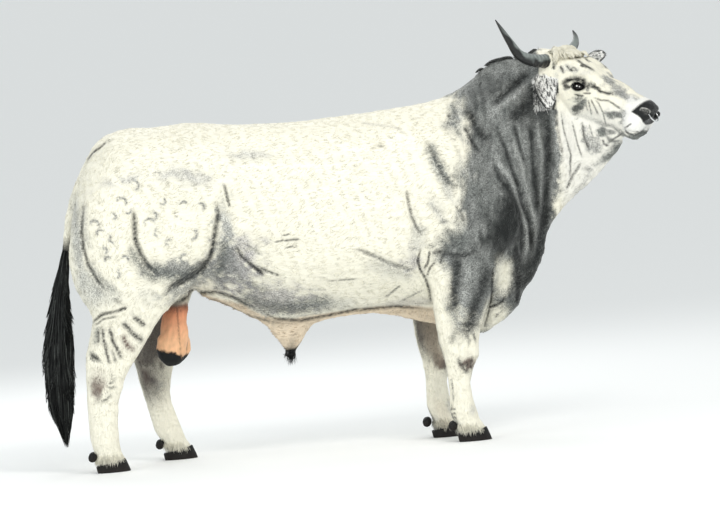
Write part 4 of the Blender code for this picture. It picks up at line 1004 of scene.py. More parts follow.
        # Dark at the top of the pouch, under the belly: painted shade.
        top = (smooth(z, 0.665, 0.715) * 0.75)[:, None]
        skin = blend(skin, INK, top)
        colours = blend(colours, skin, pouch[:, None])
        dock = smooth(z, 1.06, 1.00) * (x < -1.22) * (np.abs(y) < 0.05)
        return blend(colours, BLACK, dock[:, None])

    def face(self, colours: np.ndarray, points: np.ndarray, normals: np.ndarray) -> np.ndarray:
        """Adds the white ring of the muzzle and the ears.

        Args:
            colours: the colours so far, one row each.
            points: places, one row each.
            normals: the outward directions there.

        Returns:
            The changed colours.
        """
        along, height, across = HEAD.read(points).T
        waves = ripple(points, 0.016, 51)
        ring = smooth(along + 0.35 * height + 0.004 * waves, 0.405, 0.440) * smooth(along, 0.60, 0.58)
        ring *= np.maximum(smooth(height, 0.008, -0.016), smooth(along - PAD_SLOPE * height, 0.458, 0.472))
        lip = np.interp(along, *np.array(MOUTH)[::-1, :2].T)
        ring *= smooth(height - lip, -0.005, 0.002)
        white = (0.85 * ring)[:, None]
        colours = blend(colours, WHITE, white)
        for ear in EARS:
            here = on_ear(points) & (np.sign(across) == ear.side.value)
            if here.any():
                share, aside = ear.read(points[here])
                cover = (smooth(share, -0.08, 0.04) * smooth(np.abs(aside), 1.24, 1.06))[:, None]
                colours[here] = blend(colours[here], ear.tone(points[here], normals[here]), cover)
        return colours

    def pad(self, colours: np.ndarray, points: np.ndarray, normals: np.ndarray) -> np.ndarray:
        """Adds the black nose pad and painted shade under the jaw, where the skin faces down.

        Args:
            colours: the colours so far, one row each.
            points: places, one row each.
            normals: the outward directions there.

        Returns:
            The changed colours.
        """
        along, height, across = HEAD.read(points).T
        wide = np.abs(across)
        lower = np.interp(wide, (0.0, 0.03, 0.06, 0.075), (-0.088, -0.086, -0.072, -0.054))
        upper = np.interp(wide, (0.0, 0.04, 0.07), (0.026, 0.014, -0.018))
        pad = smooth(along - PAD_SLOPE * height, 0.488, 0.502) * smooth(height - lower, -0.004, 0.004)
        pad *= smooth(upper - height + 0.2 * (along - 0.50), -0.02, -0.006) * smooth(wide, 0.086, 0.078)
        black = pad[:, None]
        colours = blend(colours, BLACK, black)
        # Grey where the skin faces down under the jaw: painted shade.
        under = smooth(-(normals @ HEAD.axes()[1]), 0.3, 0.8) * smooth(along, 0.10, 0.24) * smooth(height, -0.12, -0.16)
        grey = (0.75 * under)[:, None]
        return blend(colours, np.array(SLATE) * 1.05, grey)

    def eyes_and_openings(self, colours: np.ndarray, points: np.ndarray) -> np.ndarray:
        """Darkens the lids' edges, paints shade into the lids' creases, the nostrils and the mouth's line, and paints a
        highlight above each nostril.

        Args:
            colours: the colours so far, one row each.
            points: places, one row each.

        Returns:
            The changed colours.
        """
        folded = HEAD.folded(points)
        dark = np.zeros(len(points))
        for socket in SOCKETS:
            here = socket.read(points)
            near = socket.near(here, 0.05, -0.01)
            away = socket.signed(here[near])
            corner = np.exp(-(((here[near, 0] - socket.lid_length) / 0.010) ** 2)) * smooth(away, 0.016, 0.004)
            dark[near] = np.maximum(dark[near], np.maximum(smooth(away, 0.0080, 0.0048), 0.8 * corner))
            # Painted shade in the crease above each lid.
            crease = np.exp(-(((away - 0.0086) / 0.0017) ** 2))
            dark[near] = np.maximum(dark[near], 0.55 * crease)
        # The nostrils and the mouth's line are painted near-black: painted shade in these openings.
        hole, gape = openings(folded)
        dark = np.maximum(dark, smooth(hole, 0.011, 0.006))
        dark = np.maximum(dark, 0.9 * smooth(gape, 0.0045, 0.0020))
        share = dark[:, None]
        colours = blend(colours, BLACK, share)
        # A pale crescent over each nostril: painted highlight.
        above = smooth(folded[:, 1] - np.array(NOSTRIL)[:, 1].mean(), -0.004, 0.006)
        gleam = (0.75 * above * np.exp(-(((hole - 0.0120) / 0.0022) ** 2)))[:, None]
        return blend(colours, PALE_GREY, gleam)

    def bare(self, points: np.ndarray) -> np.ndarray:
        """1 where the skin shows without hair: the pouch, the nose pad and the lids' edges.

        Args:
            points: places, one row each.

        Returns:
            Values from 0 to 1.
        """
        pouch = pouch_share(points, 0.70, 0.66)
        along, height, across = HEAD.read(points).T
        pad = smooth(along - PAD_SLOPE * height, 0.486, 0.500) * smooth(height, -0.125, -0.110)
        pad = pad * (np.abs(across) < 0.09)
        bare = np.maximum(pouch, pad)
        for socket in SOCKETS:
            here = socket.read(points)
            near = socket.near(here, 0.05, -0.01)
            bare[near] = np.maximum(bare[near], smooth(socket.signed(here[near]), 0.0070, 0.0040))
        return bare

    def wet(self, points: np.ndarray) -> np.ndarray:
        """1 on the moist nose pad and the lids' edges."""
        x = points[:, 0]
        return self.bare(points) * (x > 0.5)


# The skin

FLESH = ("torso", "neck", "head", "ear_right", "ear_left", "foreleg_right", "foreleg_left", "hindleg_right",
         "hindleg_left", "scrotum", "sheath", "tail_dock")


def set_group(obj: bpy.types.Object, name: str, weights: np.ndarray, steps: int = 24) -> None:
    """Stores weights from 0 to 1 as a vertex group, in even steps.

    Args:
        obj: the object.
        name: its name.
        weights: one for each vertex.
        steps: how many even steps.
    """
    group = obj.vertex_groups.new(name=name)
    level = np.rint(np.clip(weights, 0, 1) * steps).astype(int)
    for step in range(1, steps + 1):
        chosen = np.nonzero(level == step)[0]
        if len(chosen):
            group.add(chosen.tolist(), step / steps, "REPLACE")


def on_leg(x: np.ndarray) -> np.ndarray:
    """Whether each place lies along the body where a leg is."""
    return (x > FORE_FROM) | (x < HIND_UNTIL)


def pouch_share(points: np.ndarray, low: float, high: float) -> np.ndarray:
    """1 on the pouch and 0 elsewhere, with the change at its neck between two heights."""
    x, y, z = points.T
    return smooth(z, low, high) * (np.abs(x - POUCH_X) < 0.115) * smooth(np.abs(y), 0.096, 0.084)


def near_box(points: np.ndarray, node: str, margin: float) -> np.ndarray:
    """Whether each point lies in the node's box, widened by a margin."""
    low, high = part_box(node)
    return np.all((points > np.array(low) - margin) & (points < np.array(high) + margin), axis=1)


def on_ear(points: np.ndarray) -> np.ndarray:
    """Whether each point lies on an ear.

    Args:
        points: places, one row each.

    Returns:
        True or false for each point.
    """
    across = np.abs(HEAD.read(points)[:, 2])
    boxes = near_box(points, "ear_right", 0.004) | near_box(points, "ear_left", 0.004)
    return (boxes | (EAR_END.far(points) < 1.25)) & (across > 0.118)


@dataclass(frozen=True)
class EyeSocket:
    """Where an eye sits in the head and how its lids open."""

    side: Side
    along: float = 0.205
    height: float = -0.078
    out: float = 0.099
    ball_radius: float = 0.0252
    lid_length: float = 0.0285
    upper_lid: float = 0.0175
    lower_lid: float = 0.0130
    lid_tilt: float = math.radians(26.0)

    def middle(self) -> np.ndarray:
        """The ball's middle."""
        return np.array(HEAD.place(self.along, self.height, self.out * self.side.value))

    def axes(self) -> np.ndarray:
        """Rows: along the opening toward the nose, across it upward, and outward.

        Returns:
            Three unit rows.
        """
        forward, up, across = HEAD.axes()
        outward = unit(0.16 * forward + 0.10 * up + 0.98 * self.side.value * across)
        level = unit(forward - (forward @ outward) * outward)
        high = unit(up - (up @ outward) * outward - (up @ level) * level)
        c, s = math.cos(self.lid_tilt), math.sin(self.lid_tilt)
        return np.array([level * c + high * s, high * c - level * s, outward])

    def read(self, points: np.ndarray) -> np.ndarray:
        """Columns: how far each point is along, across and out of the eye."""
        return (points - self.middle()) @ self.axes().T

    def near(self, local: np.ndarray, reach: float, depth: float) -> np.ndarray:
        """Which places lie within reach of the eye's axis and above this depth."""
        return np.nonzero((np.linalg.norm(local[:, :2], axis=1) < reach) & (local[:, 2] > depth))[0]

    def opening(self, u: np.ndarray, upper: bool) -> np.ndarray:
        """Height of a lid's edge at each place along the opening."""
        share = np.clip(1 - (u / self.lid_length) ** 2, 0, 1)
        return self.upper_lid * share**0.72 if upper else -self.lower_lid * share**0.85

    def edge(self) -> np.ndarray:
        """Places round the lids' edge: along and across.

        Returns:
            The places, in order round the lids.
        """
        u = self.lid_length * np.sin(np.linspace(-math.pi / 2, math.pi / 2, 60))
        upper = np.stack([u, self.opening(u, True)], axis=1)
        lower = np.stack([u[::-1], self.opening(u[::-1], False)], axis=1)
        return np.concatenate([upper, lower[1:]])

    def ball(self, far: np.ndarray) -> np.ndarray:
        """How far out the ball's surface lies at this distance from its axis."""
        return np.sqrt(np.maximum(self.ball_radius**2 - far**2, 0.009**2))

    def signed(self, local: np.ndarray) -> np.ndarray:
        """Distance from the lids' edge, negative inside the opening.

        Args:
            local: places along, across and out of the eye.

        Returns:
            One distance for each place.
        """
        far, _, _ = path_distance(local[:, :2], self.edge())
        u, v = local[:, 0], local[:, 1]
        inside = (np.abs(u) < self.lid_length) & (v < self.opening(u, True)) & (v > self.opening(u, False))
        return np.where(inside, -far, far)

    def shape(self, points: np.ndarray) -> np.ndarray:
        """Moves the skin round the eye to its lids, and behind the ball inside them.

        Args:
            points: places, one row each.

        Returns:
            The moved points.
        """
        local = self.read(points)
        near = self.near(local, 0.052, -0.005)
        here = local[near]
        away = self.signed(here)
        u = np.clip(here[:, 0], -self.lid_length, self.lid_length)
        v = np.clip(here[:, 1], self.opening(u, False), self.opening(u, True))
        rim = self.ball(np.hypot(u, v)) + 0.0012
        lid = rim + 0.0042 * smooth(away, 0.0, 0.0030) - 0.05 * np.maximum(away - 0.003, 0)
        fold = np.where(here[:, 1] > 0, 0.0026, 0.0016)
        lid -= fold * np.exp(-(((away - 0.0085) / 0.0018) ** 2))
        lid += 0.0012 * np.exp(-(((away - 0.0125) / 0.0025) ** 2)) * (here[:, 1] > 0)
        hold = smooth(away, 0.019, 0.006)
        height = blend(here[:, 2], lid, hold)
        behind = self.ball(np.linalg.norm(here[:, :2], axis=1)) - 0.0045
        height = np.where(away < 0, behind, height)
        moved = here.copy()
        moved[:, 2] = height
        placed = points.copy()
        placed[near] = moved @ self.axes() + self.middle()
        return placed


SOCKETS = (EyeSocket(Side.RIGHT), EyeSocket(Side.LEFT))
MOUTH = ((0.575, -0.102, 0.0), (0.558, -0.108, 0.030), (0.530, -0.131, 0.062), (0.490, -0.152, 0.079),
         (0.440, -0.150, 0.084), (0.405, -0.140, 0.086))
NOSTRIL = ((0.566, -0.048, 0.026), (0.556, -0.026, 0.042), (0.536, -0.019, 0.060), (0.520, -0.022, 0.070))


def openings(folded: np.ndarray) -> tuple[np.ndarray, np.ndarray]:
    """How near each place, folded to one side of the head, lies to the nostril and to the mouth's line."""
    return path_distance(folded, np.array(NOSTRIL))[0], path_distance(folded, np.array(MOUTH))[0]


@dataclass(frozen=True)
class Swell:
    """An oval mass of flesh that fills a hollow between two solids."""

    name: str
    middle: Point
    radii: Point
    axes: np.ndarray
    soft: float = 0.55

    def far(self, points: np.ndarray) -> np.ndarray:
        """Distance of each point from the middle, 1 at the surface."""
        return np.linalg.norm((points - np.array(self.middle)) @ self.axes.T / np.array(self.radii), axis=1)

    def build(self) -> bpy.types.Object:
        """Makes the mass.

        Returns:
            The finished piece.
        """
        deselect()
        bpy.ops.mesh.primitive_uv_sphere_add(segments=48, ring_count=32, radius=1.0)
        obj = bpy.context.active_object
        obj.name = self.name
        set_places(obj.data, vertex_places(obj.data) * np.array(self.radii) @ self.axes + np.array(self.middle))
        return obj


EAR_END = Swell("ear_end", (1.170, 0.154, 1.659), (0.056, 0.009, 0.030),
                np.array([(0.83, 0.51, 0.22), (-0.50, 0.86, -0.10), (-0.24, -0.03, 0.97)]), 0.2)
SWELLS = (
    Swell("jaw_web", tuple(HEAD.place(0.415, -0.205, 0.0)), (0.050, 0.042, 0.040), HEAD.axes()),
    Swell("brow_right", tuple(HEAD.place(0.160, -0.020, -0.062)), (0.118, 0.043, 0.043), HEAD.axes(), 0.5),
    Swell("brow_left", tuple(HEAD.place(0.160, -0.020, 0.062)), (0.118, 0.043, 0.043), HEAD.axes(), 0.5),
    Swell("forehead", tuple(HEAD.place(0.160, -0.050, 0.0)), (0.130, 0.069, 0.080), HEAD.axes(), 0.5),
    Swell("nose_bridge", tuple(HEAD.place(0.355, -0.040, 0.0)), (0.130, 0.058, 0.060), HEAD.axes(), 0.4),
    Swell("sheath_front", (-0.234, 0.0, 0.593), (0.052, 0.024, 0.036), np.eye(3), 0.6),
    EAR_END,
    Swell("pouch_body", (-0.834, 0.0, 0.590), (0.066, 0.062, 0.120), np.eye(3), 0.25),
    Swell("brisket_keel", (0.663, 0.0, 0.668), (0.090, 0.070, 0.130), np.eye(3), 0.9),
)


@dataclass
class Skin:
    """One closed skin over all the flesh, inside the solids by the depth of the coat."""

    voxel: float = 0.0045
    coat_depth: float = 0.0030
    ear_depth: float = 0.0004
    rounds: int = 90
    knot_rounds: int = 60
    triangles: int = 138_000
    markings: Markings = field(default_factory=Markings)

    def build(self) -> bpy.types.Object:
        """Joins, smooths, folds and thins the skin.

        Returns:
            The finished skin, with its colours stored on its vertices.
        """
        copies = [copy_of(node, f"flesh_{node}") for node in FLESH] + [swell.build() for swell in SWELLS]
        pick(*copies)
        bpy.ops.object.join()
        obj = bpy.context.view_layer.objects.active
        obj.name = "skin"
        obj.data.name = "skin"
        apply(obj, "REMESH", mode="VOXEL", voxel_size=self.voxel)
        obj = self.largest(obj)
        self.relax(obj)
        self.fold(obj)
        self.thin(obj)
        self.refine(obj)
        self.features(obj)
        self.paint(obj)
        shade_smooth(obj)
        return seat(obj, None, *FLESH)

    def largest(self, obj: bpy.types.Object) -> bpy.types.Object:
        """Keeps the largest closed surface alone.

        Args:
            obj: the object.

        Returns:
            The kept surface.
        """
        pick(obj)
        bpy.ops.mesh.separate(type="LOOSE")
        parts = sorted(bpy.context.selected_objects, key=lambda part: -len(part.data.vertices))
        for scrap in parts[1:]:
            bpy.data.objects.remove(scrap)
        parts[0].name = "skin"
        return pick(parts[0])

    def softness(self, points: np.ndarray) -> np.ndarray:
        """How much of the smoothing each place takes.

        Args:
            points: places, one row each.

        Returns:
            Weights from 0 to 1.
        """
        x, y, z = points.T
        weight = np.ones(len(points))
        legs = smooth(z, 0.84, 0.62) * on_leg(x)
        weight -= 0.86 * legs
        pouch = near_box(points, "scrotum", 0.01) & (z < 0.69)
        weight = np.where(pouch, 0.15, weight)
        weight = np.where(near_box(points, "sheath", 0.004) & (z < 0.53), 0.10, weight)
        tail = smooth(x, -0.98, -1.03) * smooth(np.abs(y), 0.075, 0.045) * smooth(np.abs(z - 1.25), 0.40, 0.26)
        weight = np.where(tail > 0.5, 0.12, weight)
        weight = np.minimum(weight, 1 - 0.90 * HEAD.share(points))
        for swell in SWELLS:
            weight = np.maximum(weight, swell.soft * smooth(swell.far(points), 1.7, 1.1))
        return np.where(on_ear(points), 0.03, weight)

    def relax(self, obj: bpy.types.Object) -> None:
        """Smooths facets away, least on legs, head and ears, and sinks the skin by the coat's depth.

        Args:
            obj: the object.
        """
        before = vertex_places(obj.data)
        set_group(obj, "soft", self.softness(before))
        apply(obj, "SMOOTH", factor=0.5, iterations=self.rounds, vertex_group="soft")
        obj.vertex_groups.clear()
        points = vertex_places(obj.data)
        local = HEAD.read(points)
        knot = smooth(local[:, 0], -0.10, -0.06) * smooth(local[:, 0], 0.13, 0.09)
        knot = knot * smooth(local[:, 1], -0.055, -0.035)
        knot *= smooth(np.abs(local[:, 2]), 0.10, 0.075)
        thin = on_ear(points)
        sink = np.where(thin, self.ear_depth, self.coat_depth + 0.012 * knot)
        muzzle = smooth(local[:, 0], 0.40, 0.50)
        sink = sink * (1 - 0.7 * muzzle)
        set_places(obj.data, points - vertex_normals(obj.data) * sink[:, None])
        set_group(obj, "knot", knot)
        apply(obj, "SMOOTH", factor=0.5, iterations=self.knot_rounds, vertex_group="knot")
        obj.vertex_groups.clear()

    def fold(self, obj: bpy.types.Object) -> None:
        """Presses the folds of the hide into the skin, with a soft swell beside each.

        Args:
            obj: the object.
        """
        points = vertex_places(obj.data)
        normals = vertex_normals(obj.data)
        spots = SIDE_VIEW.spots(points)
        facing = smooth(np.abs(normals[:, 1]), 0.10, 0.45)
        push = np.zeros(len(points))
        for line in self.markings.lines:
            on, signed = line.strength(spots, line.width)
            far = np.abs(signed) / line.width
            swell = 0.35 * np.exp(-(((far - 1.9) / 0.8) ** 2))
            push += line.depth * (swell - on) * (np.abs(signed) < 0.9)
        push *= np.where(np.abs(normals[:, 1]) > 0, np.maximum(facing, HEAD.share(points)), 0)
        x, _, z = points.T
        wide = smooth(x, 0.45, 0.55) * smooth(0.98 - x, 0.0, 0.10) * smooth(z, 0.75, 0.95) * smooth(z, 1.66, 1.50)
        slant = (spots[:, 0] * 1.0 - 0.12 * spots[:, 1]) * 150
        push += 0.004 * wide * np.sin(slant + 2.0 * ripple(points, 0.25, 61)) * facing
        push += 0.0012 * ripple(points, 0.07, 62) * (1 - HEAD.share(points)) * smooth(z, 0.10, 0.30)
        push = np.where(on_ear(points), 0.0, push)
        set_places(obj.data, points + normals * push[:, None])

    def thin(self, obj: bpy.types.Object) -> None:
        """Thins the mesh where the form is plain and keeps it fine on the head, ears and feet.

        Args:
            obj: the object.
        """
        points = vertex_places(obj.data)
        z = points[:, 2]
        spots = SIDE_VIEW.spots(points)
        lines = np.zeros(len(points))
        for line in self.markings.lines:
            on, _ = line.strength(spots, line.width * 1.5)
            lines = np.maximum(lines, on)
        weight = 1 - 0.70 * lines
        weight = np.where(near_box(points, "scrotum", 0.01), 0.35, weight)
        weight = np.minimum(weight, 1 - 0.80 * HEAD.share(points))
        weight = np.minimum(weight, 1 - 0.35 * smooth(z, 0.30, 0.15))
        weight = np.where(on_ear(points), 0.25, weight)
        set_group(obj, "plain", np.maximum(weight, 0.05))
        faces = 2 * len(obj.data.polygons)
        ratio = min(1.0, self.triangles / faces)
        apply(obj, "DECIMATE", ratio=ratio, vertex_group="plain", vertex_group_factor=0.04)
        obj.vertex_groups.clear()

    def subdivide(self, obj: bpy.types.Object, chosen: np.ndarray) -> None:
        """Cuts the faces that hold any of these vertices once in each direction.

        Args:
            obj: the object.
            chosen: which vertices are picked.
        """
        mesh = obj.data
        corners = np.empty(len(mesh.loops), np.int32)
        mesh.loops.foreach_get("vertex_index", corners)
        starts = np.empty(len(mesh.polygons), np.int32)
        mesh.polygons.foreach_get("loop_start", starts)
        picked = np.logical_or.reduceat(chosen[corners], starts)
        pick(obj)
        bpy.ops.object.mode_set(mode="EDIT")
        bpy.ops.mesh.select_mode(type="FACE")
        bpy.ops.mesh.select_all(action="DESELECT")
        bpy.ops.object.mode_set(mode="OBJECT")
        mesh.polygons.foreach_set("select", picked)
        bpy.ops.object.mode_set(mode="EDIT")
        bpy.ops.mesh.subdivide(number_cuts=1)
        bpy.ops.mesh.quads_convert_to_tris()
        bpy.ops.object.mode_set(mode="OBJECT")

    def refine(self, obj: bpy.types.Object) -> None:
        """Cuts the mesh finer at the lids, nose, mouth and the thigh's curls.

        Args:
            obj: the object.
        """
        for reach in (0.034, 0.028):
            points = vertex_places(obj.data)
            chosen = np.zeros(len(points), bool)
            for socket in SOCKETS:
                local = socket.read(points)
                chosen[socket.near(local, reach + 0.004, -0.004)] = True
            self.subdivide(obj, chosen)
        points = vertex_places(obj.data)
        local = HEAD.read(points)
        folded = HEAD.folded(points)
        hole, gape = openings(folded)
        pad = (local[:, 0] - PAD_SLOPE * local[:, 1] > 0.484) & (local[:, 1] > -0.10)
        self.subdivide(obj, (hole < 0.016) | (gape < 0.009) | pad)
        for inner, outer in ((0.0, 1.3), (0.35, 1.15)):
            points = vertex_places(obj.data)
            spots = SIDE_VIEW.spots(points)
            chosen = np.zeros(len(points), bool)
            for ring in self.markings.rings:
                far = np.hypot(*(spots - np.array(ring.middle)).T) / ring.radii[0]
                chosen |= (far > inner) & (far < outer)
            self.subdivide(obj, chosen & (np.abs(points[:, 1]) > 0.08))

    def features(self, obj: bpy.types.Object) -> None:
        """Shapes the nostrils, the line of the mouth and the lids.

        Args:
            obj: the object.
        """
        points = vertex_places(obj.data)
        normals = vertex_normals(obj.data)
        local = HEAD.read(points)
        folded = HEAD.folded(points)
        hole, gape = openings(folded)
        push = -0.011 * np.exp(-((hole / 0.0062) ** 2)) + 0.0022 * np.exp(-(((hole - 0.0125) / 0.004) ** 2))
        push += -0.006 * np.exp(-((gape / 0.0028) ** 2)) + 0.0016 * np.exp(-(((gape - 0.0095) / 0.004) ** 2))
        pad = smooth(local[:, 0] - PAD_SLOPE * local[:, 1], 0.49, 0.51) * smooth(hole, 0.008, 0.016)
        push += 0.0006 * pad * ripple(points, 0.006, 71)
        points = points + normals * push[:, None]
        for socket in SOCKETS:
            points = socket.shape(points)
        set_places(obj.data, points)

    def paint(self, obj: bpy.types.Object) -> None:
        """Stores the colours, the bare places and the places that shine.

        Args:
            obj: the object.
        """
        points = vertex_places(obj.data)
        normals = vertex_normals(obj.data)
        colours = self.markings.lay(points, normals)
        colours = self.markings.eyes_and_openings(colours, points)
        set_colours(obj.data, "Coat", colours)
        set_values(obj.data, "Bare", self.markings.bare(points))
        set_values(obj.data, "Wet", self.markings.wet(points))
        x, _, z = points.T
        upright = smooth(z, 0.85, 0.68) * ((x > 0.2) | (x < -0.7))
        set_values(obj.data, "Upright", np.maximum(upright, HEAD.share(points)))


# Hair


@dataclass
class Surface:
    """The finished skin, ready to be searched for places to root and lay hair."""

    skin: bpy.types.Object

    def __post_init__(self) -> None:
        """Reads the skin's triangles once."""
        mesh = self.skin.data
        mesh.calc_loop_triangles()
        corners = np.empty(len(mesh.loop_triangles) * 3, np.int32)
        mesh.loop_triangles.foreach_get("vertices", corners)
        self.triangles = corners.reshape(-1, 3)
        self.points = vertex_places(mesh)
        self.normals = vertex_normals(mesh)
        self.tree = BVHTree.FromPolygons(self.points.tolist(), self.triangles.tolist())
        a, b, c = (self.points[self.triangles[:, i]] for i in range(3))
        self.areas = 0.5 * np.linalg.norm(np.cross(b - a, c - a), axis=1)
        self.middles = (a + b + c) / 3

    def scatter(self, density: np.ndarray, seed: int) -> tuple[np.ndarray, np.ndarray]:
        """Spreads places over the skin.

        Args:
            density: places for each square metre, one value for each triangle.
            seed: which draw.

        Returns:
            The places and the outward directions there.
        """
        draw = np.random.default_rng(seed)
        share = np.cumsum(density * self.areas)
        count = int(share[-1])
        picks = np.searchsorted(share, (np.arange(count) + draw.uniform(size=count)) * share[-1] / max(count, 1))
        picks = np.minimum(picks, len(self.areas) - 1)
        first, second = draw.uniform(size=(2, count))
        over = first + second > 1
        first, second = np.where(over, 1 - first, first), np.where(over, 1 - second, second)
        weights = np.stack([1 - first - second, first, second], axis=1)[:, :, None]
        corners = self.triangles[picks]
        return (self.points[corners] * weights).sum(1), unit((self.normals[corners] * weights).sum(1))

    def snap(self, points: np.ndarray) -> tuple[np.ndarray, np.ndarray]:
        """The nearest places on the skin and the outward directions there.

        Args:
            points: places, one row each.

        Returns:
            The places and the directions.
        """
        found = [self.tree.find_nearest(point) for point in points.tolist()]
        places = np.array([tuple(hit[0]) for hit in found])
        normals = np.array([tuple(hit[1]) for hit in found])
        return places, normals

    def lay(self, roots: np.ndarray, ways: np.ndarray, lengths: np.ndarray, lifts: tuple[float, ...]) -> np.ndarray:
        """Lays strands over the skin along their ways.

        Args:
            roots: where the strands grow.
            ways: the direction in which each one lies.
            lengths: how long each one is.
            lifts: height over the skin at each step, the first at the root.

        Returns:
            Points of every strand, from root to tip.
        """
        here, normals = self.snap(roots)
        lines = [here + normals * lifts[0]]
        step = lengths / (len(lifts) - 1)
        for lift in lifts[1:]:
            along = unit(ways - (ways * normals).sum(1, keepdims=True) * normals)
            here, normals = self.snap(here + along * step[:, None])
            lines.append(here + normals * lift)
        return np.stack(lines, axis=1)


def strands(name: str, lines: np.ndarray, ups: np.ndarray, widths: np.ndarray, colours: np.ndarray,
            homes: np.ndarray, flat: float = 0.5, sides: int = 3) -> bpy.types.Object:
    """Joins many tapered strands in one closed-form mesh.

    Args:
        name: the piece's name.
        lines: points of each strand from root to tip.
        ups: the outward direction at each strand.
        widths: half width at each point but the tip.
        colours: colour at each point of each strand.
        homes: where each strand's patch lies on the unwrap.
        flat: thickness as a share of width.
        sides: faces round a strand.

    Returns:
        The piece, with its colours and its unwrap.
    """
    count, steps, _ = lines.shape
    rings = steps - 1
    way = np.gradient(lines, axis=1)[:, :rings]
    side = unit(np.cross(way, ups[:, None, :]))
    top = unit(np.cross(side, way))
    angles = np.linspace(0, 2 * math.pi, sides, endpoint=False) + math.pi / 2
    offset = np.cos(angles)[None, None, :, None] * side[:, :, None, :]
    offset = offset + flat * np.sin(angles)[None, None, :, None] * top[:, :, None, :]
    ring_points = lines[:, :rings, None, :] + offset * widths[:, :, None, None]
    places = np.concatenate([ring_points.reshape(count, rings * sides, 3), lines[:, -1:, :]], axis=1)
    each = rings * sides + 1
    begin = (np.arange(count) * each)[:, None, None]
    i = np.arange(sides)
    after = (i + 1) % sides
    low = (np.arange(rings - 1) * sides)[:, None]
    quads = np.stack([low + i, low + sides + i, low + sides + after, low + after], axis=-1).reshape(1, -1, 4) + begin
    last = (rings - 1) * sides
    tips = np.stack([last + i, np.full(sides, rings * sides), last + after], axis=-1)[None] + begin
    triangles = tips.reshape(-1, 3)
    quads = quads.reshape(-1, 4)
    if sides == 3:
        triangles = np.concatenate([triangles, (np.arange(3)[None] + begin[:, 0])])
    else:
        quads = np.concatenate([quads, (np.arange(4)[None] + begin[:, 0])])
    obj = mesh_object(name, places.reshape(-1, 3), quads, triangles)
    ring_colours = np.repeat(colours[:, :rings, None, :], sides, axis=2).reshape(count, rings * sides, 3)
    full = np.concatenate([ring_colours, colours[:, -1:, :]], axis=1).reshape(-1, 3)
    set_colours(obj.data, "Coat", full)
    across = np.repeat(np.cos(angles)[None, :] * HAIR_PATCH * 0.45, rings, axis=0).ravel()
    along = np.repeat((np.arange(rings) / rings - 0.5) * HAIR_PATCH, sides)
    spread = np.concatenate([np.stack([across, along], axis=1), [[0.0, 0.5 * HAIR_PATCH]]])
    maps = (homes[:, None, :] + spread[None]).reshape(-1, 2)
    layer = obj.data.uv_layers.new(name="OFBake")
    corners = np.empty(len(obj.data.loops), np.int32)
    obj.data.loops.foreach_get("vertex_index", corners)
    layer.uv.foreach_set("vector", maps[corners].astype(np.float32).ravel())
    return obj


def unwrap(points: np.ndarray, normals: np.ndarray) -> np.ndarray:
    """Lays places on the skin flat: each limb is unfolded in six charts, packed in rows.

    Args:
        points: places on the skin.
        normals: outward directions there.

    Returns:
        A place between 0 and 1 on the flat map for each.
    """
    x, y, z = points.T
    legs = (z < 0.70) & on_leg(x)
    part = np.where(HEAD.share(points) > 0.5, 1, 0) + np.where(legs & (x > 0), 2, 0) + np.where(legs & (x < 0), 3, 0)
    part = part * 2 + (y > 0) * (legs | on_ear(points))
    axis = np.argmax(np.abs(normals), axis=1)
    facing = np.take_along_axis(normals, axis[:, None], 1)[:, 0] > 0
    chart = part * 6 + axis * 2 + facing
    across = np.where(axis == 0, y, x)
    upward = np.where(axis == 2, y, z)
    boxes = []
    for key in np.unique(chart):
        inside = chart == key
        low = np.array([across[inside].min(), upward[inside].min()])
        size = np.array([across[inside].max(), upward[inside].max()]) - low
        boxes.append((key, low, size))
    boxes.sort(key=lambda box: -box[2][1])
    scale, margin = 1.0, 3 * HAIR_PATCH
    while True:
        spots, left, base, tall = {}, margin, margin, 0.0
        for key, low, size in boxes:
            wide, high = size * scale + margin
            if left + wide > 1 - margin:
                left, base, tall = margin, base + tall, 0.0
            spots[key] = (left - low[0] * scale, base - low[1] * scale)
            left, tall = left + wide, max(tall, high)
            if left > 1 - margin:
                base = 2.0
        if base + tall <= 1 - margin:
            break
        scale *= 0.94
    shift = np.array([spots[key] for key in chart])
    return np.stack([across, upward], axis=1) * scale + shift


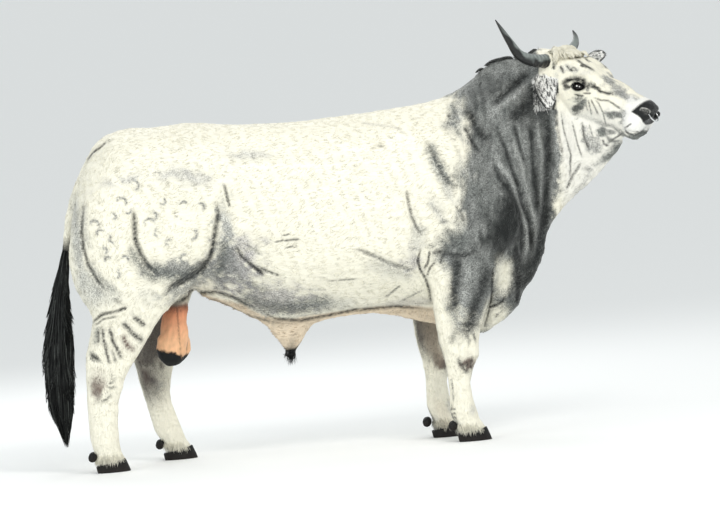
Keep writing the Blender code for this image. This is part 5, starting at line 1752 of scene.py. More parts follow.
@dataclass
class Coat:
    """Short tufts that lie over the skin and break its form on every side."""

    markings: Markings
    cover: float = 0.40
    most: int = 19_500
    seed: int = 5
    body: Spot = (0.022, 0.0013)
    leg_less: Spot = (0.007, 0.0002)
    foot_less: Spot = (0.005, 0.0002)
    face: Spot = (0.0120, 0.0012)
    muzzle_less: Spot = (0.0055, 0.0004)
    ear: Spot = (0.011, 0.0012)

    def sizes(self, points: np.ndarray) -> tuple[np.ndarray, np.ndarray]:
        """Length and half width of a tuft at each place, smallest on the face and feet.

        Args:
            points: places, one row each.

        Returns:
            Lengths and half widths in metres.
        """
        x, _, z = points.T
        legs = smooth(z, 0.84, 0.66) * on_leg(x)
        feet = smooth(z, 0.30, 0.12)
        head = HEAD.share(points)
        along = HEAD.read(points)[:, 0]
        muzzle = head * smooth(along, 0.10, 0.35)
        ear = on_ear(points)
        found = []
        for i in range(2):
            size = self.body[i] - self.leg_less[i] * legs - self.foot_less[i] * feet
            size = blend(size, self.face[i] - self.muzzle_less[i] * muzzle, head)
            found.append(np.where(ear, self.ear[i], size))
        return found[0], found[1]

    def ways(self, points: np.ndarray, normals: np.ndarray) -> np.ndarray:
        """The direction in which the coat lies.

        Args:
            points: places, one row each.
            normals: the outward directions there.

        Returns:
            One unit direction for each place.
        """
        x, _, z = points.T
        way = np.tile(np.array([-1.0, 0.0, -0.28]), (len(points), 1))
        down = np.array([-0.12, 0.0, -1.0])
        share = np.maximum(smooth(z, 0.86, 0.66) * on_leg(x), smooth(x, -0.95, -1.12))
        share = np.maximum(share, 0.72 * smooth(x, 0.40, 0.62))
        way = blend(way, down, share[:, None])
        forward, up, across = HEAD.axes()
        local = HEAD.read(points)
        cheek = smooth(local[:, 1], -0.10, -0.22)[:, None]
        face = forward + 0.35 * np.sign(local[:, 2:3]) * across * smooth(local[:, 0], 0.25, 0.0)[:, None]
        face = blend(face, -0.55 * forward - 0.85 * up, cheek)
        head = HEAD.share(points)[:, None]
        way = blend(way, face, head)
        for ear in EARS:
            here = on_ear(points) & (np.sign(local[:, 2]) == ear.side.value)
            way[here] = unit(np.array(ear.tip) - ear.root())
        spots = SIDE_VIEW.spots(points)
        for ring in self.markings.rings:
            away = spots - np.array(ring.middle)
            pull = np.exp(-((np.hypot(away[:, 0], away[:, 1]) / (ring.radii[0] * 1.2)) ** 2))[:, None] * 1.6
            way = way + pull * unit(np.stack([-away[:, 1], np.zeros(len(x)), away[:, 0]], axis=1))
        swirl = 0.35 * ripple(points, 0.16, 81) + 0.18 * ripple(points, 0.05, 82)
        flat = unit(way - (way * normals).sum(1, keepdims=True) * normals)
        turned = np.cross(normals, flat)
        return unit(flat + turned * swirl[:, None])

    def build(self, surface: Surface) -> list[bpy.types.Object]:
        """Grows the tufts.

        Args:
            surface: the finished skin.

        Returns:
            The coat's pieces.
        """
        draw = np.random.default_rng(self.seed)
        length, half = self.sizes(surface.middles)
        haired = 1 - self.markings.bare(surface.middles)
        haired *= smooth(surface.middles[:, 2], 0.040, 0.050)
        density = self.cover * smooth(haired, 0.3, 0.7) / (length * half * 1.5)
        roots, normals = surface.scatter(density, self.seed)
        count = len(roots)
        length, half = self.sizes(roots)
        length = length * draw.uniform(0.7, 1.25, count)
        way = self.ways(roots, normals)
        way = unit(way + np.cross(normals, way) * draw.normal(0, 0.16, (count, 1)))
        lift = draw.uniform(0.012, 0.050, count)[:, None]
        reach = length[:, None]
        lines = np.stack([
            roots - normals * 0.0012,
            roots + way * reach * 0.5 + normals * (0.0004 + reach * lift * 0.75),
            roots + way * reach + normals * reach * lift * 0.9,
        ], axis=1)
        widths = half[:, None] * np.array([0.75, 1.0])
        tones = np.stack([self.markings.lay(lines[:, k], normals) for k in range(3)], axis=1)
        light = tones.mean(axis=(1, 2))
        loose = 0.025 + 0.55 * light**0.5 * (1 - light) ** 1.5
        change = np.clip(1 + draw.normal(0, 1, count) * loose, 0.45, 1.35)
        # Each tuft is darker at its root and lighter at its tip: painted shade and light among the hairs.
        tones = np.clip(tones * change[:, None, None] * np.array([0.93, 1.0, 1.04])[None, :, None], 0.002, 0.97)
        groups = self.groups(roots)
        pieces = []
        for name, chosen in groups:
            homes = unwrap(roots[chosen], normals[chosen])
            piece = strands(name, lines[chosen], normals[chosen], widths[chosen], tones[chosen], homes, 0.25)
            pieces.append(seat(piece, Slot.PALE_COAT))
        return pieces

    def groups(self, roots: np.ndarray) -> list[tuple[str, np.ndarray]]:
        """Names of the coat's pieces and the tufts of each.

        Args:
            roots: where the tufts grow.

        Returns:
            Each name with its tufts.
        """
        x, y, z = roots.T
        head = HEAD.share(roots) > 0.5
        low = (z < 0.72) & on_leg(x) & ~head
        kinds = {
            "coat_head": head,
            "coat_forelegs": low & (x > 0),
            "coat_hindlegs": low & (x < 0),
            "coat_neck": (x > 0.45) & ~head & ~low,
            "coat_barrel": (x <= 0.45) & (x > -0.45) & ~head & ~low,
            "coat_quarters": (x <= -0.45) & ~head & ~low,
        }
        found = []
        for name, inside in kinds.items():
            chosen = np.nonzero(inside)[0]
            chosen = chosen[np.argsort(y[chosen], kind="stable")]
            shares = max(1, math.ceil(len(chosen) / self.most))
            for i, part in enumerate(np.array_split(chosen, shares)):
                found.append((f"{name}_{i + 1}" if shares > 1 else name, part))
        return found


@dataclass
class LongHair:
    """Topknot, crest bristles, tail switch, sheath tuft, ear hair, lashes and the fringe over the hooves."""

    surface: Surface
    knot_locks: int = 170
    knot_strands: int = 9
    crest_count: int = 2000
    switch_count: int = 1100
    ear_count: int = 210
    lash_count: int = 42
    tuft_count: int = 150
    switch_tips: int = 34
    knot_lengths: Spot = (0.048, 0.078)
    crest_lengths: Spot = (0.014, 0.026)
    tuft_lengths: Spot = (0.050, 0.088)
    ear_lengths: Spot = (0.014, 0.030)
    lash_lengths: Spot = (0.010, 0.015)
    fringe_lengths: Spot = (0.018, 0.032)
    knot_widths: Spot = (0.0011, 0.0019)
    crest_widths: Spot = (0.0009, 0.0016)
    switch_widths: Spot = (0.0016, 0.0030)
    tuft_widths: Spot = (0.0009, 0.0017)
    ear_widths: Spot = (0.0008, 0.0014)
    fringe_widths: Spot = (0.0010, 0.0016)
    lash_width: float = 0.00045
    seed: int = 17
    switch_form: tuple[Point, ...] = (
        (0.112, -1.362, 0.003), (0.126, -1.3625, 0.006), (0.163, -1.3635, 0.0145), (0.210, -1.367, 0.030),
        (0.260, -1.370, 0.050), (0.350, -1.370, 0.063), (0.470, -1.366, 0.069), (0.560, -1.3555, 0.0715),
        (0.650, -1.3485, 0.0625), (0.745, -1.3405, 0.0445), (0.834, -1.3265, 0.0335), (0.920, -1.305, 0.025),
        (0.968, -1.2975, 0.0185), (1.040, -1.276, 0.018),
    )

    def topknot(self) -> bpy.types.Object:
        """Wavy locks that fall forward from the poll over the forehead.

        Returns:
            The finished piece.
        """
        draw = np.random.default_rng(self.seed)
        forward, up, across = HEAD.axes()
        locks = self.knot_locks
        along = -0.055 + 0.125 * draw.uniform(size=locks) ** 0.9
        sideways = draw.uniform(-0.085, 0.085, locks) * (1 - 1.6 * np.clip(along, 0, 0.1))
        seeds = np.array(HEAD.poll) + np.outer(along, forward) + np.outer(np.full(locks, 0.06), up)
        seeds = seeds + np.outer(sideways, across)
        lengths = draw.uniform(*self.knot_lengths, locks) * (1 - 6.0 * np.clip(along - 0.01, 0, 0.08))
        lengths = lengths * (1 - 0.35 * smooth(sideways, 0.02, 0.08))
        back = smooth(-along, 0.045, 0.075)[:, None]
        way = forward[None] * (1 - 1.7 * back) + across[None] * (sideways * 5 + draw.normal(0, 0.30, locks))[:, None]
        lifts = (-0.002, 0.016, 0.023, 0.024, 0.020, 0.014, 0.008)
        spine = self.surface.lay(seeds, unit(way), lengths, lifts)
        count = locks * self.knot_strands
        lock = np.repeat(np.arange(locks), self.knot_strands)
        t = np.linspace(0, 1, len(lifts))[None, :]
        phase = np.repeat(draw.uniform(0, 6.28, locks), self.knot_strands)[:, None]
        spread = draw.normal(0, 0.0062, (count, 1)) * (1 - 0.72 * t**1.5)
        rise = draw.normal(0, 0.0030, (count, 1)) * (1 - 0.6 * t)
        wave = 0.0042 * t * np.sin(t * 8.5 + phase)
        lines = spine[lock]
        run = unit(lines[:, -1] - lines[:, 0])
        over = np.tile(up, (count, 1))
        side = unit(np.cross(run, over))
        lines = lines + side[:, None, :] * (spread + wave)[:, :, None] + over[:, None, :] * rise[:, :, None]
        widths = np.repeat(draw.uniform(*self.knot_widths, (count, 1)), len(lifts) - 1, axis=1)
        widths *= np.array([1.0, 1.15, 1.15, 1.0, 0.85, 0.6])
        tone = np.array(CREAM)[None, None] * draw.uniform(0.90, 1.03, (count, 1, 1))
        # Darker toward the root: painted shade among the locks.
        tone = tone * np.linspace(0.90, 1.0, 7)[None, :, None]
        dark = np.repeat(draw.uniform(size=locks) < 0.12, self.knot_strands) & (draw.uniform(size=count) < 0.55)
        tips = (dark[:, None] * smooth(t, 0.62, 0.9))[:, :, None]
        tone = blend(tone, SLATE, tips)
        homes = unwrap(spine[lock][:, 0], over)
        return strands("topknot", lines, over, widths, np.clip(tone, 0, 0.97), homes, 0.6)

    def crest(self) -> bpy.types.Object:
        """Dark bristles along the top of the neck.

        Returns:
            The finished piece.
        """
        draw = np.random.default_rng(self.seed + 1)
        count = self.crest_count
        share = draw.uniform(size=count)
        x = np.interp(share, (0, 0.3, 0.6, 1), (0.50, 0.62, 0.74, 0.885))
        y = draw.normal(0, 0.022, count)
        seeds = np.stack([x, y, np.full(count, 1.80)], axis=1)
        roots, normals = self.surface.snap(seeds)
        way = unit(np.stack([-0.9 + draw.normal(0, 0.35, count), 8 * y + draw.normal(0, 0.25, count),
                             draw.normal(-0.15, 0.2, count)], axis=1))
        lengths = draw.uniform(*self.crest_lengths, count)
        lines = self.surface.lay(roots, way, lengths, (-0.003, 0.004, 0.009, 0.013))
        widths = np.repeat(draw.uniform(*self.crest_widths, (count, 1)), 3, axis=1) * np.array([1.0, 1.0, 0.6])
        mix = draw.uniform(size=(count, 1, 1)) ** 1.5
        tone = np.array(BLACK) * (1 - mix) + np.array(SLATE) * mix * np.ones((1, 4, 1))
        return strands("crest", lines, normals, widths, tone, unwrap(roots, normals))

    def switch(self) -> bpy.types.Object:
        """The long black switch at the end of the tail, ragged down both edges.

        Returns:
            The finished piece.
        """
        draw = np.random.default_rng(self.seed + 2)
        count = self.switch_count
        heights, middles, breadths = np.array(self.switch_form).T
        high = np.where(draw.uniform(size=count) < 0.55, draw.uniform(0.93, 1.03, count),
                        draw.uniform(0.42, 0.95, count))
        reach = draw.uniform(0.20, 0.52, count)
        reach = np.where(draw.uniform(size=count) < 0.42, 0.95, reach)
        low = np.maximum(high - reach, 0.108 + 0.12 * draw.uniform(size=count) ** 2.2)
        t = np.linspace(0, 1, 9)[None, :]
        tips = self.switch_tips
        lock = draw.integers(0, tips, count)
        tip_low = draw.permutation(np.linspace(0.15, 0.82, tips))
        tip_turn = draw.normal(0, 0.45, tips) + math.pi * (np.arange(tips) % 2)
        ragged = draw.uniform(size=count) < 0.42
        low = np.where(ragged, tip_low[lock] + np.abs(draw.normal(0, 0.004, count)), low)
        high = np.where(ragged, np.minimum(low + draw.uniform(0.14, 0.30, count), 1.0), high)
        z = blend(high[:, None], low[:, None], t)
        turn = draw.uniform(0, 2 * math.pi, count)[:, None]
        out = np.sqrt(draw.uniform(0.02, 1.0, count))[:, None]
        gather = tip_turn[lock][:, None] + draw.normal(0, 0.55, (count, 1)) * (1 - 0.85 * t**3)
        ragged = ragged[:, None]
        spread = np.where(ragged, 0.88 + 0.21 * t**4, out * (0.93 + 0.10 * t**4))
        turn = np.where(ragged, gather, turn)
        wave = 0.006 * np.sin(t * 5 + draw.uniform(0, 6.28, (count, 1))) * t
        broad = np.interp(z, heights, breadths)
        x = np.interp(z, heights, middles) + np.cos(turn) * spread * broad + wave
        y = 0.80 * np.sin(turn) * spread * broad + wave * 0.6
        lines = np.stack([x, y, z], axis=2)
        widths = draw.uniform(*self.switch_widths, (count, 1)) * np.array([[0.7, 1.0, 1.1, 1.1, 1.1, 1.05, 0.95, 0.75]])
        mix = (draw.uniform(size=(count, 1, 1)) ** 4) * np.linspace(1.0, 0.5, 9)[None, :, None]
        tone = blend(np.array(BLACK), np.array(SLATE) * 0.8, mix)
        outward = around(turn[:, 0])
        return strands("tail_hair", lines, outward, widths, tone, unwrap(lines[:, 2], outward), 0.6)

    def sheath_tuft(self) -> bpy.types.Object:
        """The black tuft that hangs from the sheath.

        Returns:
            The finished piece.
        """
        draw = np.random.default_rng(self.seed + 3)
        count = self.tuft_count
        turn = draw.uniform(0, 2 * math.pi, count)
        out = np.sqrt(draw.uniform(size=count)) * 0.017
        root = np.stack([-0.314 + out * np.cos(turn), out * np.sin(turn), draw.uniform(0.474, 0.486, count)], axis=1)
        length = draw.uniform(*self.tuft_lengths, count)[:, None]
        t = np.linspace(0, 1, 5)
        fall = root[:, None, :] + np.stack([
            -0.10 * length * t + draw.normal(0, 0.10, (count, 1)) * length * t**2 + 0.25 * (root[:, :1] + 0.314) * t,
            draw.normal(0, 0.12, (count, 1)) * length * t**2 + 0.25 * root[:, 1:2] * t, -length * t], axis=2)
        widths = draw.uniform(*self.tuft_widths, (count, 1)) * np.array([[1.0, 1.0, 0.8, 0.55]])
        tone = np.tile(np.array(BLACK), (count, 5, 1))
        outward = around(turn)
        return strands("sheath_tuft", fall, outward, widths, tone, unwrap(root, outward))

    def ear_hair(self) -> bpy.types.Object:
        """White and black hair that lines the ears.

        Returns:
            The finished piece.
        """
        draw = np.random.default_rng(self.seed + 4)
        all_lines, all_ups, all_tones = [], [], []
        points, normals = self.surface.points, self.surface.normals
        local = HEAD.read(points)[:, 2]
        for ear in EARS:
            share, across = ear.read(points)
            facing = unit(np.array(ear.facing))
            inner = on_ear(points) & (np.sign(local) == ear.side.value) & (normals @ facing > 0.35)
            inner &= (share > 0.04) & (share < 0.72) & (np.abs(across) < 0.72)
            found = np.nonzero(inner)[0]
            chosen = found[draw.integers(0, len(found), self.ear_count)]
            start, ups = points[chosen], normals[chosen]
            run = unit(np.array(ear.tip) - ear.root())
            sideways = unit(np.cross(run, facing)) * across[chosen][:, None]
            way = unit(run * 0.95 + 0.30 * sideways + draw.normal(0, 0.14, (len(chosen), 3)))
            length = draw.uniform(*self.ear_lengths, len(chosen))[:, None, None]
            t = np.linspace(0, 1, 5)[None, :, None]
            bow = 0.30 * t - 0.24 * t**2
            lines = start[:, None, :] - 0.001 * ups[:, None] + length * (t * way[:, None] + bow * ups[:, None])
            dark = (draw.uniform(size=(len(chosen), 1, 1)) < 0.50) * np.ones((1, 5, 1))
            all_lines.append(lines)
            all_ups.append(ups)
            all_tones.append(np.array(WHITE) * (1 - dark) + np.array(BLACK) * dark)
        lines, ups, tones = np.concatenate(all_lines), np.concatenate(all_ups), np.concatenate(all_tones)
        widths = draw.uniform(*self.ear_widths, (len(lines), 1)) * np.array([[1.0, 1.0, 0.85, 0.5]])
        return strands("ear_hair", lines, ups, widths, tones, unwrap(lines[:, 0], ups))

    def lashes(self) -> bpy.types.Object:
        """Black lashes along the upper lids.

        Returns:
            The finished piece.
        """
        draw = np.random.default_rng(self.seed + 5)
        all_lines, all_ups = [], []
        for socket in SOCKETS:
            u = np.linspace(-0.82, 0.85, self.lash_count) * socket.lid_length + draw.normal(0, 0.0004, self.lash_count)
            v = socket.opening(u, True)
            out = socket.ball(np.hypot(u, v)) + 0.0030
            root = np.stack([u, v + 0.0012, out], axis=1)
            length = draw.uniform(*self.lash_lengths, self.lash_count)[:, None, None]
            t = np.linspace(0, 1, 5)[None, :, None]
            fan = np.stack([u / socket.lid_length * 0.45, np.full(len(u), -0.10), np.full(len(u), 0.95)], axis=1)
            curl = np.array([0.0, 0.55, 0.0])
            lines = root[:, None] + length * (t * fan[:, None] + (t**2 - 0.55 * t) * curl)
            all_lines.append(lines @ socket.axes() + socket.middle())
            all_ups.append(np.tile(socket.axes()[1], (self.lash_count, 1)))
        lines, ups = np.concatenate(all_lines), np.concatenate(all_ups)
        widths = np.full((len(lines), 4), self.lash_width) * np.array([[1.0, 0.9, 0.75, 0.5]])
        tones = np.tile(np.array(BLACK), (len(lines), 5, 1))
        return strands("lashes", lines, ups, widths, tones, unwrap(lines[:, 0], ups), 1.0)

    def fringe(self, markings: Markings) -> bpy.types.Object:
        """The fringe of hair that falls over the top of each hoof.

        Args:
            markings: the coat's markings.

        Returns:
            The finished piece.
        """
        draw = np.random.default_rng(self.seed + 6)
        middles = self.surface.middles
        density = 55_000 * smooth(middles[:, 2], 0.046, 0.056) * smooth(middles[:, 2], 0.092, 0.072)
        roots, normals = self.surface.scatter(density, self.seed)
        count = len(roots)
        length = draw.uniform(*self.fringe_lengths, count)[:, None, None]
        level = unit(normals * np.array([1, 1, 0.0]) + 1e-6)
        t = np.linspace(0, 1, 4)[None, :, None]
        lines = roots[:, None] - normals[:, None] * 0.001 + length * (
            -t * np.array([0, 0, 0.95]) + (0.72 * t - 0.38 * t**2) * level[:, None]
            + t * draw.normal(0, 0.07, (count, 1, 3)))
        widths = draw.uniform(*self.fringe_widths, (count, 1)) * np.array([[1.0, 1.0, 0.6]])
        tone = markings.lay(roots + np.array([0, 0, 0.03]), normals)
        tone = tone[:, None] * draw.uniform(0.80, 1.02, (count, 1, 1)) * np.ones((1, 4, 1))
        return strands("hoof_fringe", lines, normals, widths, np.clip(tone, 0, 0.97), unwrap(roots, normals))


# Horns, eyes, hooves and the ring


@dataclass
class Horn:
    """A curved horn, ringed at the base and smooth to its dark point, with painted light on its upper side."""

    side: Side
    rings: int = 9
    ring_depth: float = 0.0011
    sink: float = 0.016
    # Colour of the painted light on the horn's upper side.
    light: Colour = rgb(150, 158, 154)

    def route(self) -> np.ndarray:
        """Corners of the horn's middle line and its radius at each.

        Returns:
            Rows of x, y, z and radius.
        """
        rise, ahead = (0.040, 0.0) if self.side is Side.RIGHT else (-0.036, 0.010)
        line = (
            (0.006, -0.058, 0.092), (-0.003, -0.062, 0.135), (-0.024 + 0.3 * ahead, -0.064, 0.190),
            (-0.060 + 0.6 * ahead, -0.058 + 0.1 * rise, 0.245),
            (-0.094 + ahead - 0.2 * rise, -0.026 + 0.4 * rise, 0.300),
            (-0.130 + ahead - 0.4 * rise, 0.7 * rise, 0.333), (-0.168 + ahead - 0.6 * rise, 0.020 + rise, 0.352),
        )
        places = np.array([tuple(HEAD.place(s, h, w * self.side.value)) for s, h, w in line])
        radii = np.array((0.0300, 0.0300, 0.0275, 0.0235, 0.0175, 0.0110, 0.0030))
        root = places[0] - unit(places[1] - places[0]) * self.sink
        return np.concatenate([np.concatenate([[root], places]), np.concatenate([[0.0295], radii])[:, None]], axis=1)

    def build(self) -> bpy.types.Object:
        """Sweeps the horn along its line.

        Returns:
            The finished piece.
        """
        route = self.route()
        steps = np.concatenate([[0], np.cumsum(np.linalg.norm(np.diff(route[:, :3], axis=0), axis=1))])
        share = np.linspace(0, 1, 110)
        fine = bezier_through(route, steps / steps[-1], share)
        wave = self.ring_depth * smooth(share, 0.55, 0.10) * np.sin(share * self.rings * 4 * math.pi)
        wave = wave * smooth(share, 0.03, 0.10)
        radii = fine[:, 3] - 0.0007 + wave
        curve = bpy.data.curves.new("horn line", "CURVE")
        curve.dimensions = "3D"
        curve.bevel_depth = 1.0
        curve.bevel_resolution = 10
        curve.use_fill_caps = True
        spline = curve.splines.new("POLY")
        spline.points.add(len(fine) - 1)
        for point, place, radius in zip(spline.points, fine, radii):
            point.co = (*place[:3], 1.0)
            point.radius = radius
        name = f"horn_sheath_{self.side.name.lower()}"
        obj = bpy.data.objects.new(name, curve)
        bpy.context.scene.collection.objects.link(obj)
        pick(obj)
        bpy.ops.object.convert(target="MESH")
        obj = bpy.context.view_layer.objects.active
        obj.name = name
        with edit_mode(obj):
            bpy.ops.mesh.remove_doubles(threshold=0.00001)
            bpy.ops.mesh.normals_make_consistent(inside=False)
        shade_smooth(obj)
        points, normals = vertex_places(obj.data), vertex_normals(obj.data)
        _, along, _ = path_distance(points, fine[:, :3])
        # Lighter where the horn faces up: painted light on its top.
        top = smooth(normals[:, 2] + 0.25 * ripple(points, 0.05, 91), -0.25, 0.35)
        lighter = np.array(self.light) - np.array(BLACK)
        tone = np.array(BLACK) * 1.5 + lighter * (top * smooth(along, 1.0, 0.70) * 0.8)[:, None]
        tone *= (0.80 + 0.20 * np.sin(along * self.rings * 4 * math.pi + 1.2) * smooth(along, 0.55, 0.2))[:, None]
        set_colours(obj.data, "Coat", np.clip(tone, 0, 1))
        return seat(obj, Slot.HORN, f"horn_{self.side.name.lower()}")


def bezier_through(values: np.ndarray, marks: np.ndarray, share: np.ndarray) -> np.ndarray:
    """A smooth curve through values at their marks, read at each share.

    Args:
        values: the values, one row each.
        marks: where each value lies, from 0 to 1.
        share: shares of the way to read.

    Returns:
        The values at the shares.
    """
    slopes = np.gradient(values, marks, axis=0)
    index = np.clip(np.searchsorted(marks, share, side="right") - 1, 0, len(marks) - 2)
    width = (marks[index + 1] - marks[index])[:, None]
    t = ((share - marks[index])[:, None]) / width
    h00, h10 = 2 * t**3 - 3 * t**2 + 1, t**3 - 2 * t**2 + t
    h01, h11 = -2 * t**3 + 3 * t**2, t**3 - t**2
    return h00 * values[index] + h10 * width * slopes[index] + h01 * values[index + 1] + h11 * width * slopes[index + 1]


@dataclass
class Eye:
    """An eyeball with its clear bulge, dark iris, level pupil and two painted highlights."""

    socket: EyeSocket
    bulge: float = 0.0016
    iris: float = 0.0155
    pupil: Spot = (0.0085, 0.0050)
    iris_tone: Colour = rgb(20, 15, 13)
    edge_tone: Colour = rgb(24, 22, 21)
    pupil_tone: Colour = (0.002, 0.002, 0.003)
    # Places and sizes of the two white spots: painted highlights.
    painted_glints: tuple[Point, ...] = ((-0.0022, 0.0042, 0.0034), (0.0100, 0.0012, 0.0023))

    def build(self) -> bpy.types.Object:
        """Makes the ball with its pole outward.

        Returns:
            The finished piece.
        """
        deselect()
        bpy.ops.mesh.primitive_uv_sphere_add(segments=96, ring_count=72, radius=self.socket.ball_radius)
        obj = bpy.context.active_object
        obj.name = f"eyeball_{self.socket.side.name.lower()}"
        local = vertex_places(obj.data)
        far = np.hypot(local[:, 0], local[:, 1])
        front = local[:, 2] > 0
        rise = self.bulge * smooth(far, self.iris * 1.1, self.iris * 0.4) * front
        local += unit(local) * rise[:, None]
        level = np.hypot(local[:, 0] / self.pupil[0], local[:, 1] / self.pupil[1])
        tone = np.array(self.iris_tone) * np.ones((len(local), 1))
        rim = smooth(far, self.iris - 0.0022, self.iris)[:, None]
        tone = blend(tone, np.array(BLACK) * 0.6, rim)
        outside = (smooth(far, self.iris + 0.0010, self.iris + 0.0060) * front)[:, None]
        tone = blend(tone, self.edge_tone, outside)
        hole = (smooth(level, 1.10, 0.92) * front)[:, None]
        tone = blend(tone, self.pupil_tone, hole)
        flip = -self.socket.side.value if np.linalg.det(self.socket.axes()) < 0 else 1.0
        # Paints the two white spots on the ball: painted highlights of the lamps.
        for u, v, size in self.painted_glints:
            off = np.hypot(local[:, 0] - flip * u, local[:, 1] - v)
            spot = (smooth(off, size * 1.15, size * 0.75) * front)[:, None]
            tone = blend(tone, np.array(WHITE) * 0.9, spot)
        set_colours(obj.data, "Coat", tone)
        axes = self.socket.axes()
        if np.linalg.det(axes) < 0:
            local[:, 0] *= -1
            axes = axes * np.array([[-1.0], [1.0], [1.0]])
        set_places(obj.data, local @ axes + self.socket.middle())
        shade_smooth(obj)
        return seat(obj, Slot.EYE, f"eye_{self.socket.side.name.lower()}")


@dataclass
class Hooves:
    """The split hooves and the dewclaws, worn smooth at their edges."""

    edge: float = 0.0018

    def build(self, nodes: list[str]) -> list[bpy.types.Object]:
        """Makes a softened hoof for each claw node.

        Args:
            nodes: names of the claw nodes.

        Returns:
            The hooves.
        """
        pieces = []
        for node in nodes:
            obj = copy_of(node, f"hoof_{node}")
            apply(obj, "BEVEL", width=self.edge, segments=2, limit_method="ANGLE", angle_limit=math.radians(35))
            apply(obj, "SUBSURF", levels=1, render_levels=1, subdivision_type="SIMPLE")
            points = vertex_places(obj.data)
            low, high = points[:, 2].min(), points[:, 2].max()
            share = (points[:, 2] - low) / (high - low)
            ring = 0.00035 * np.sin(share * 34 + 3 * ripple(points, 0.05, 95)) * smooth(share, 0.05, 0.2)
            points = points + vertex_normals(obj.data) * ring[:, None]
            if low < 0.01:
                points[:, 2] = np.maximum(points[:, 2], 0.0)
            set_places(obj.data, points)
            tone = np.array(BLACK) * (0.9 + 0.5 * share[:, None]) + np.array(BROWN) * 0.06 * (1 - share[:, None])
            set_colours(obj.data, "Coat", tone * (1 + 0.25 * ripple(points, 0.02, 96)[:, None]))
            shade_smooth(obj)
            pick(obj)
            bpy.ops.object.shade_smooth_by_angle(angle=math.radians(38))
            pieces.append(seat(obj, Slot.CLAW, node))
        return pieces


@dataclass
class NoseRing:
    """A steel ring through the nose, with its hinge and screw."""

    middle: Point = (1.3894, -0.2890, 1.3940)
    radius: float = 0.0360
    wire: float = 0.0034
    slant: float = math.radians(28)
    lugs: tuple[Point, ...] = ((-1.35, 0.0044, 0.0080), (-1.60, 0.0041, 0.0030))

    def build(self) -> bpy.types.Object:
        """Makes the ring in its plane, with the hinge across from the screw.

        Returns:
            The finished piece.
        """
        _, up, across = (Vector(axis) for axis in HEAD.axes())
        forward = Vector(HEAD.axes()[0])
        down = (forward * math.cos(self.slant) - up * math.sin(self.slant)).normalized()
        normal = across.cross(down).normalized()
        turn = Matrix((across, down, normal)).transposed().to_4x4()
        place = Matrix.Translation(Vector(self.middle)) @ turn
        deselect()
        bpy.ops.mesh.primitive_torus_add(major_segments=120, minor_segments=20, major_radius=self.radius,
                                         minor_radius=self.wire)
        ring = bpy.context.active_object
        pieces = [ring]
        for angle, size, deep in self.lugs:
            deselect()
            place_on = (self.radius * math.cos(angle), self.radius * math.sin(angle), 0)
            bpy.ops.mesh.primitive_cylinder_add(vertices=24, radius=size, depth=deep, location=place_on,
                                                rotation=(math.pi / 2, 0, angle))
            lug = bpy.context.active_object
            bpy.ops.object.transform_apply(location=True, rotation=True, scale=True)
            apply(lug, "BEVEL", width=0.0007, segments=2, limit_method="ANGLE")
            pieces.append(lug)
        pick(*pieces)
        bpy.ops.object.join()
        ring = bpy.context.view_layer.objects.active
        ring.name = "ring"
        ring.data.transform(place)
        ring.matrix_world = Matrix.Identity(4)
        shade_smooth(ring)
        pick(ring)
        bpy.ops.object.shade_smooth_by_angle(angle=math.radians(40))
        return seat(ring, Slot.RING, "nose_ring")


# Finishes


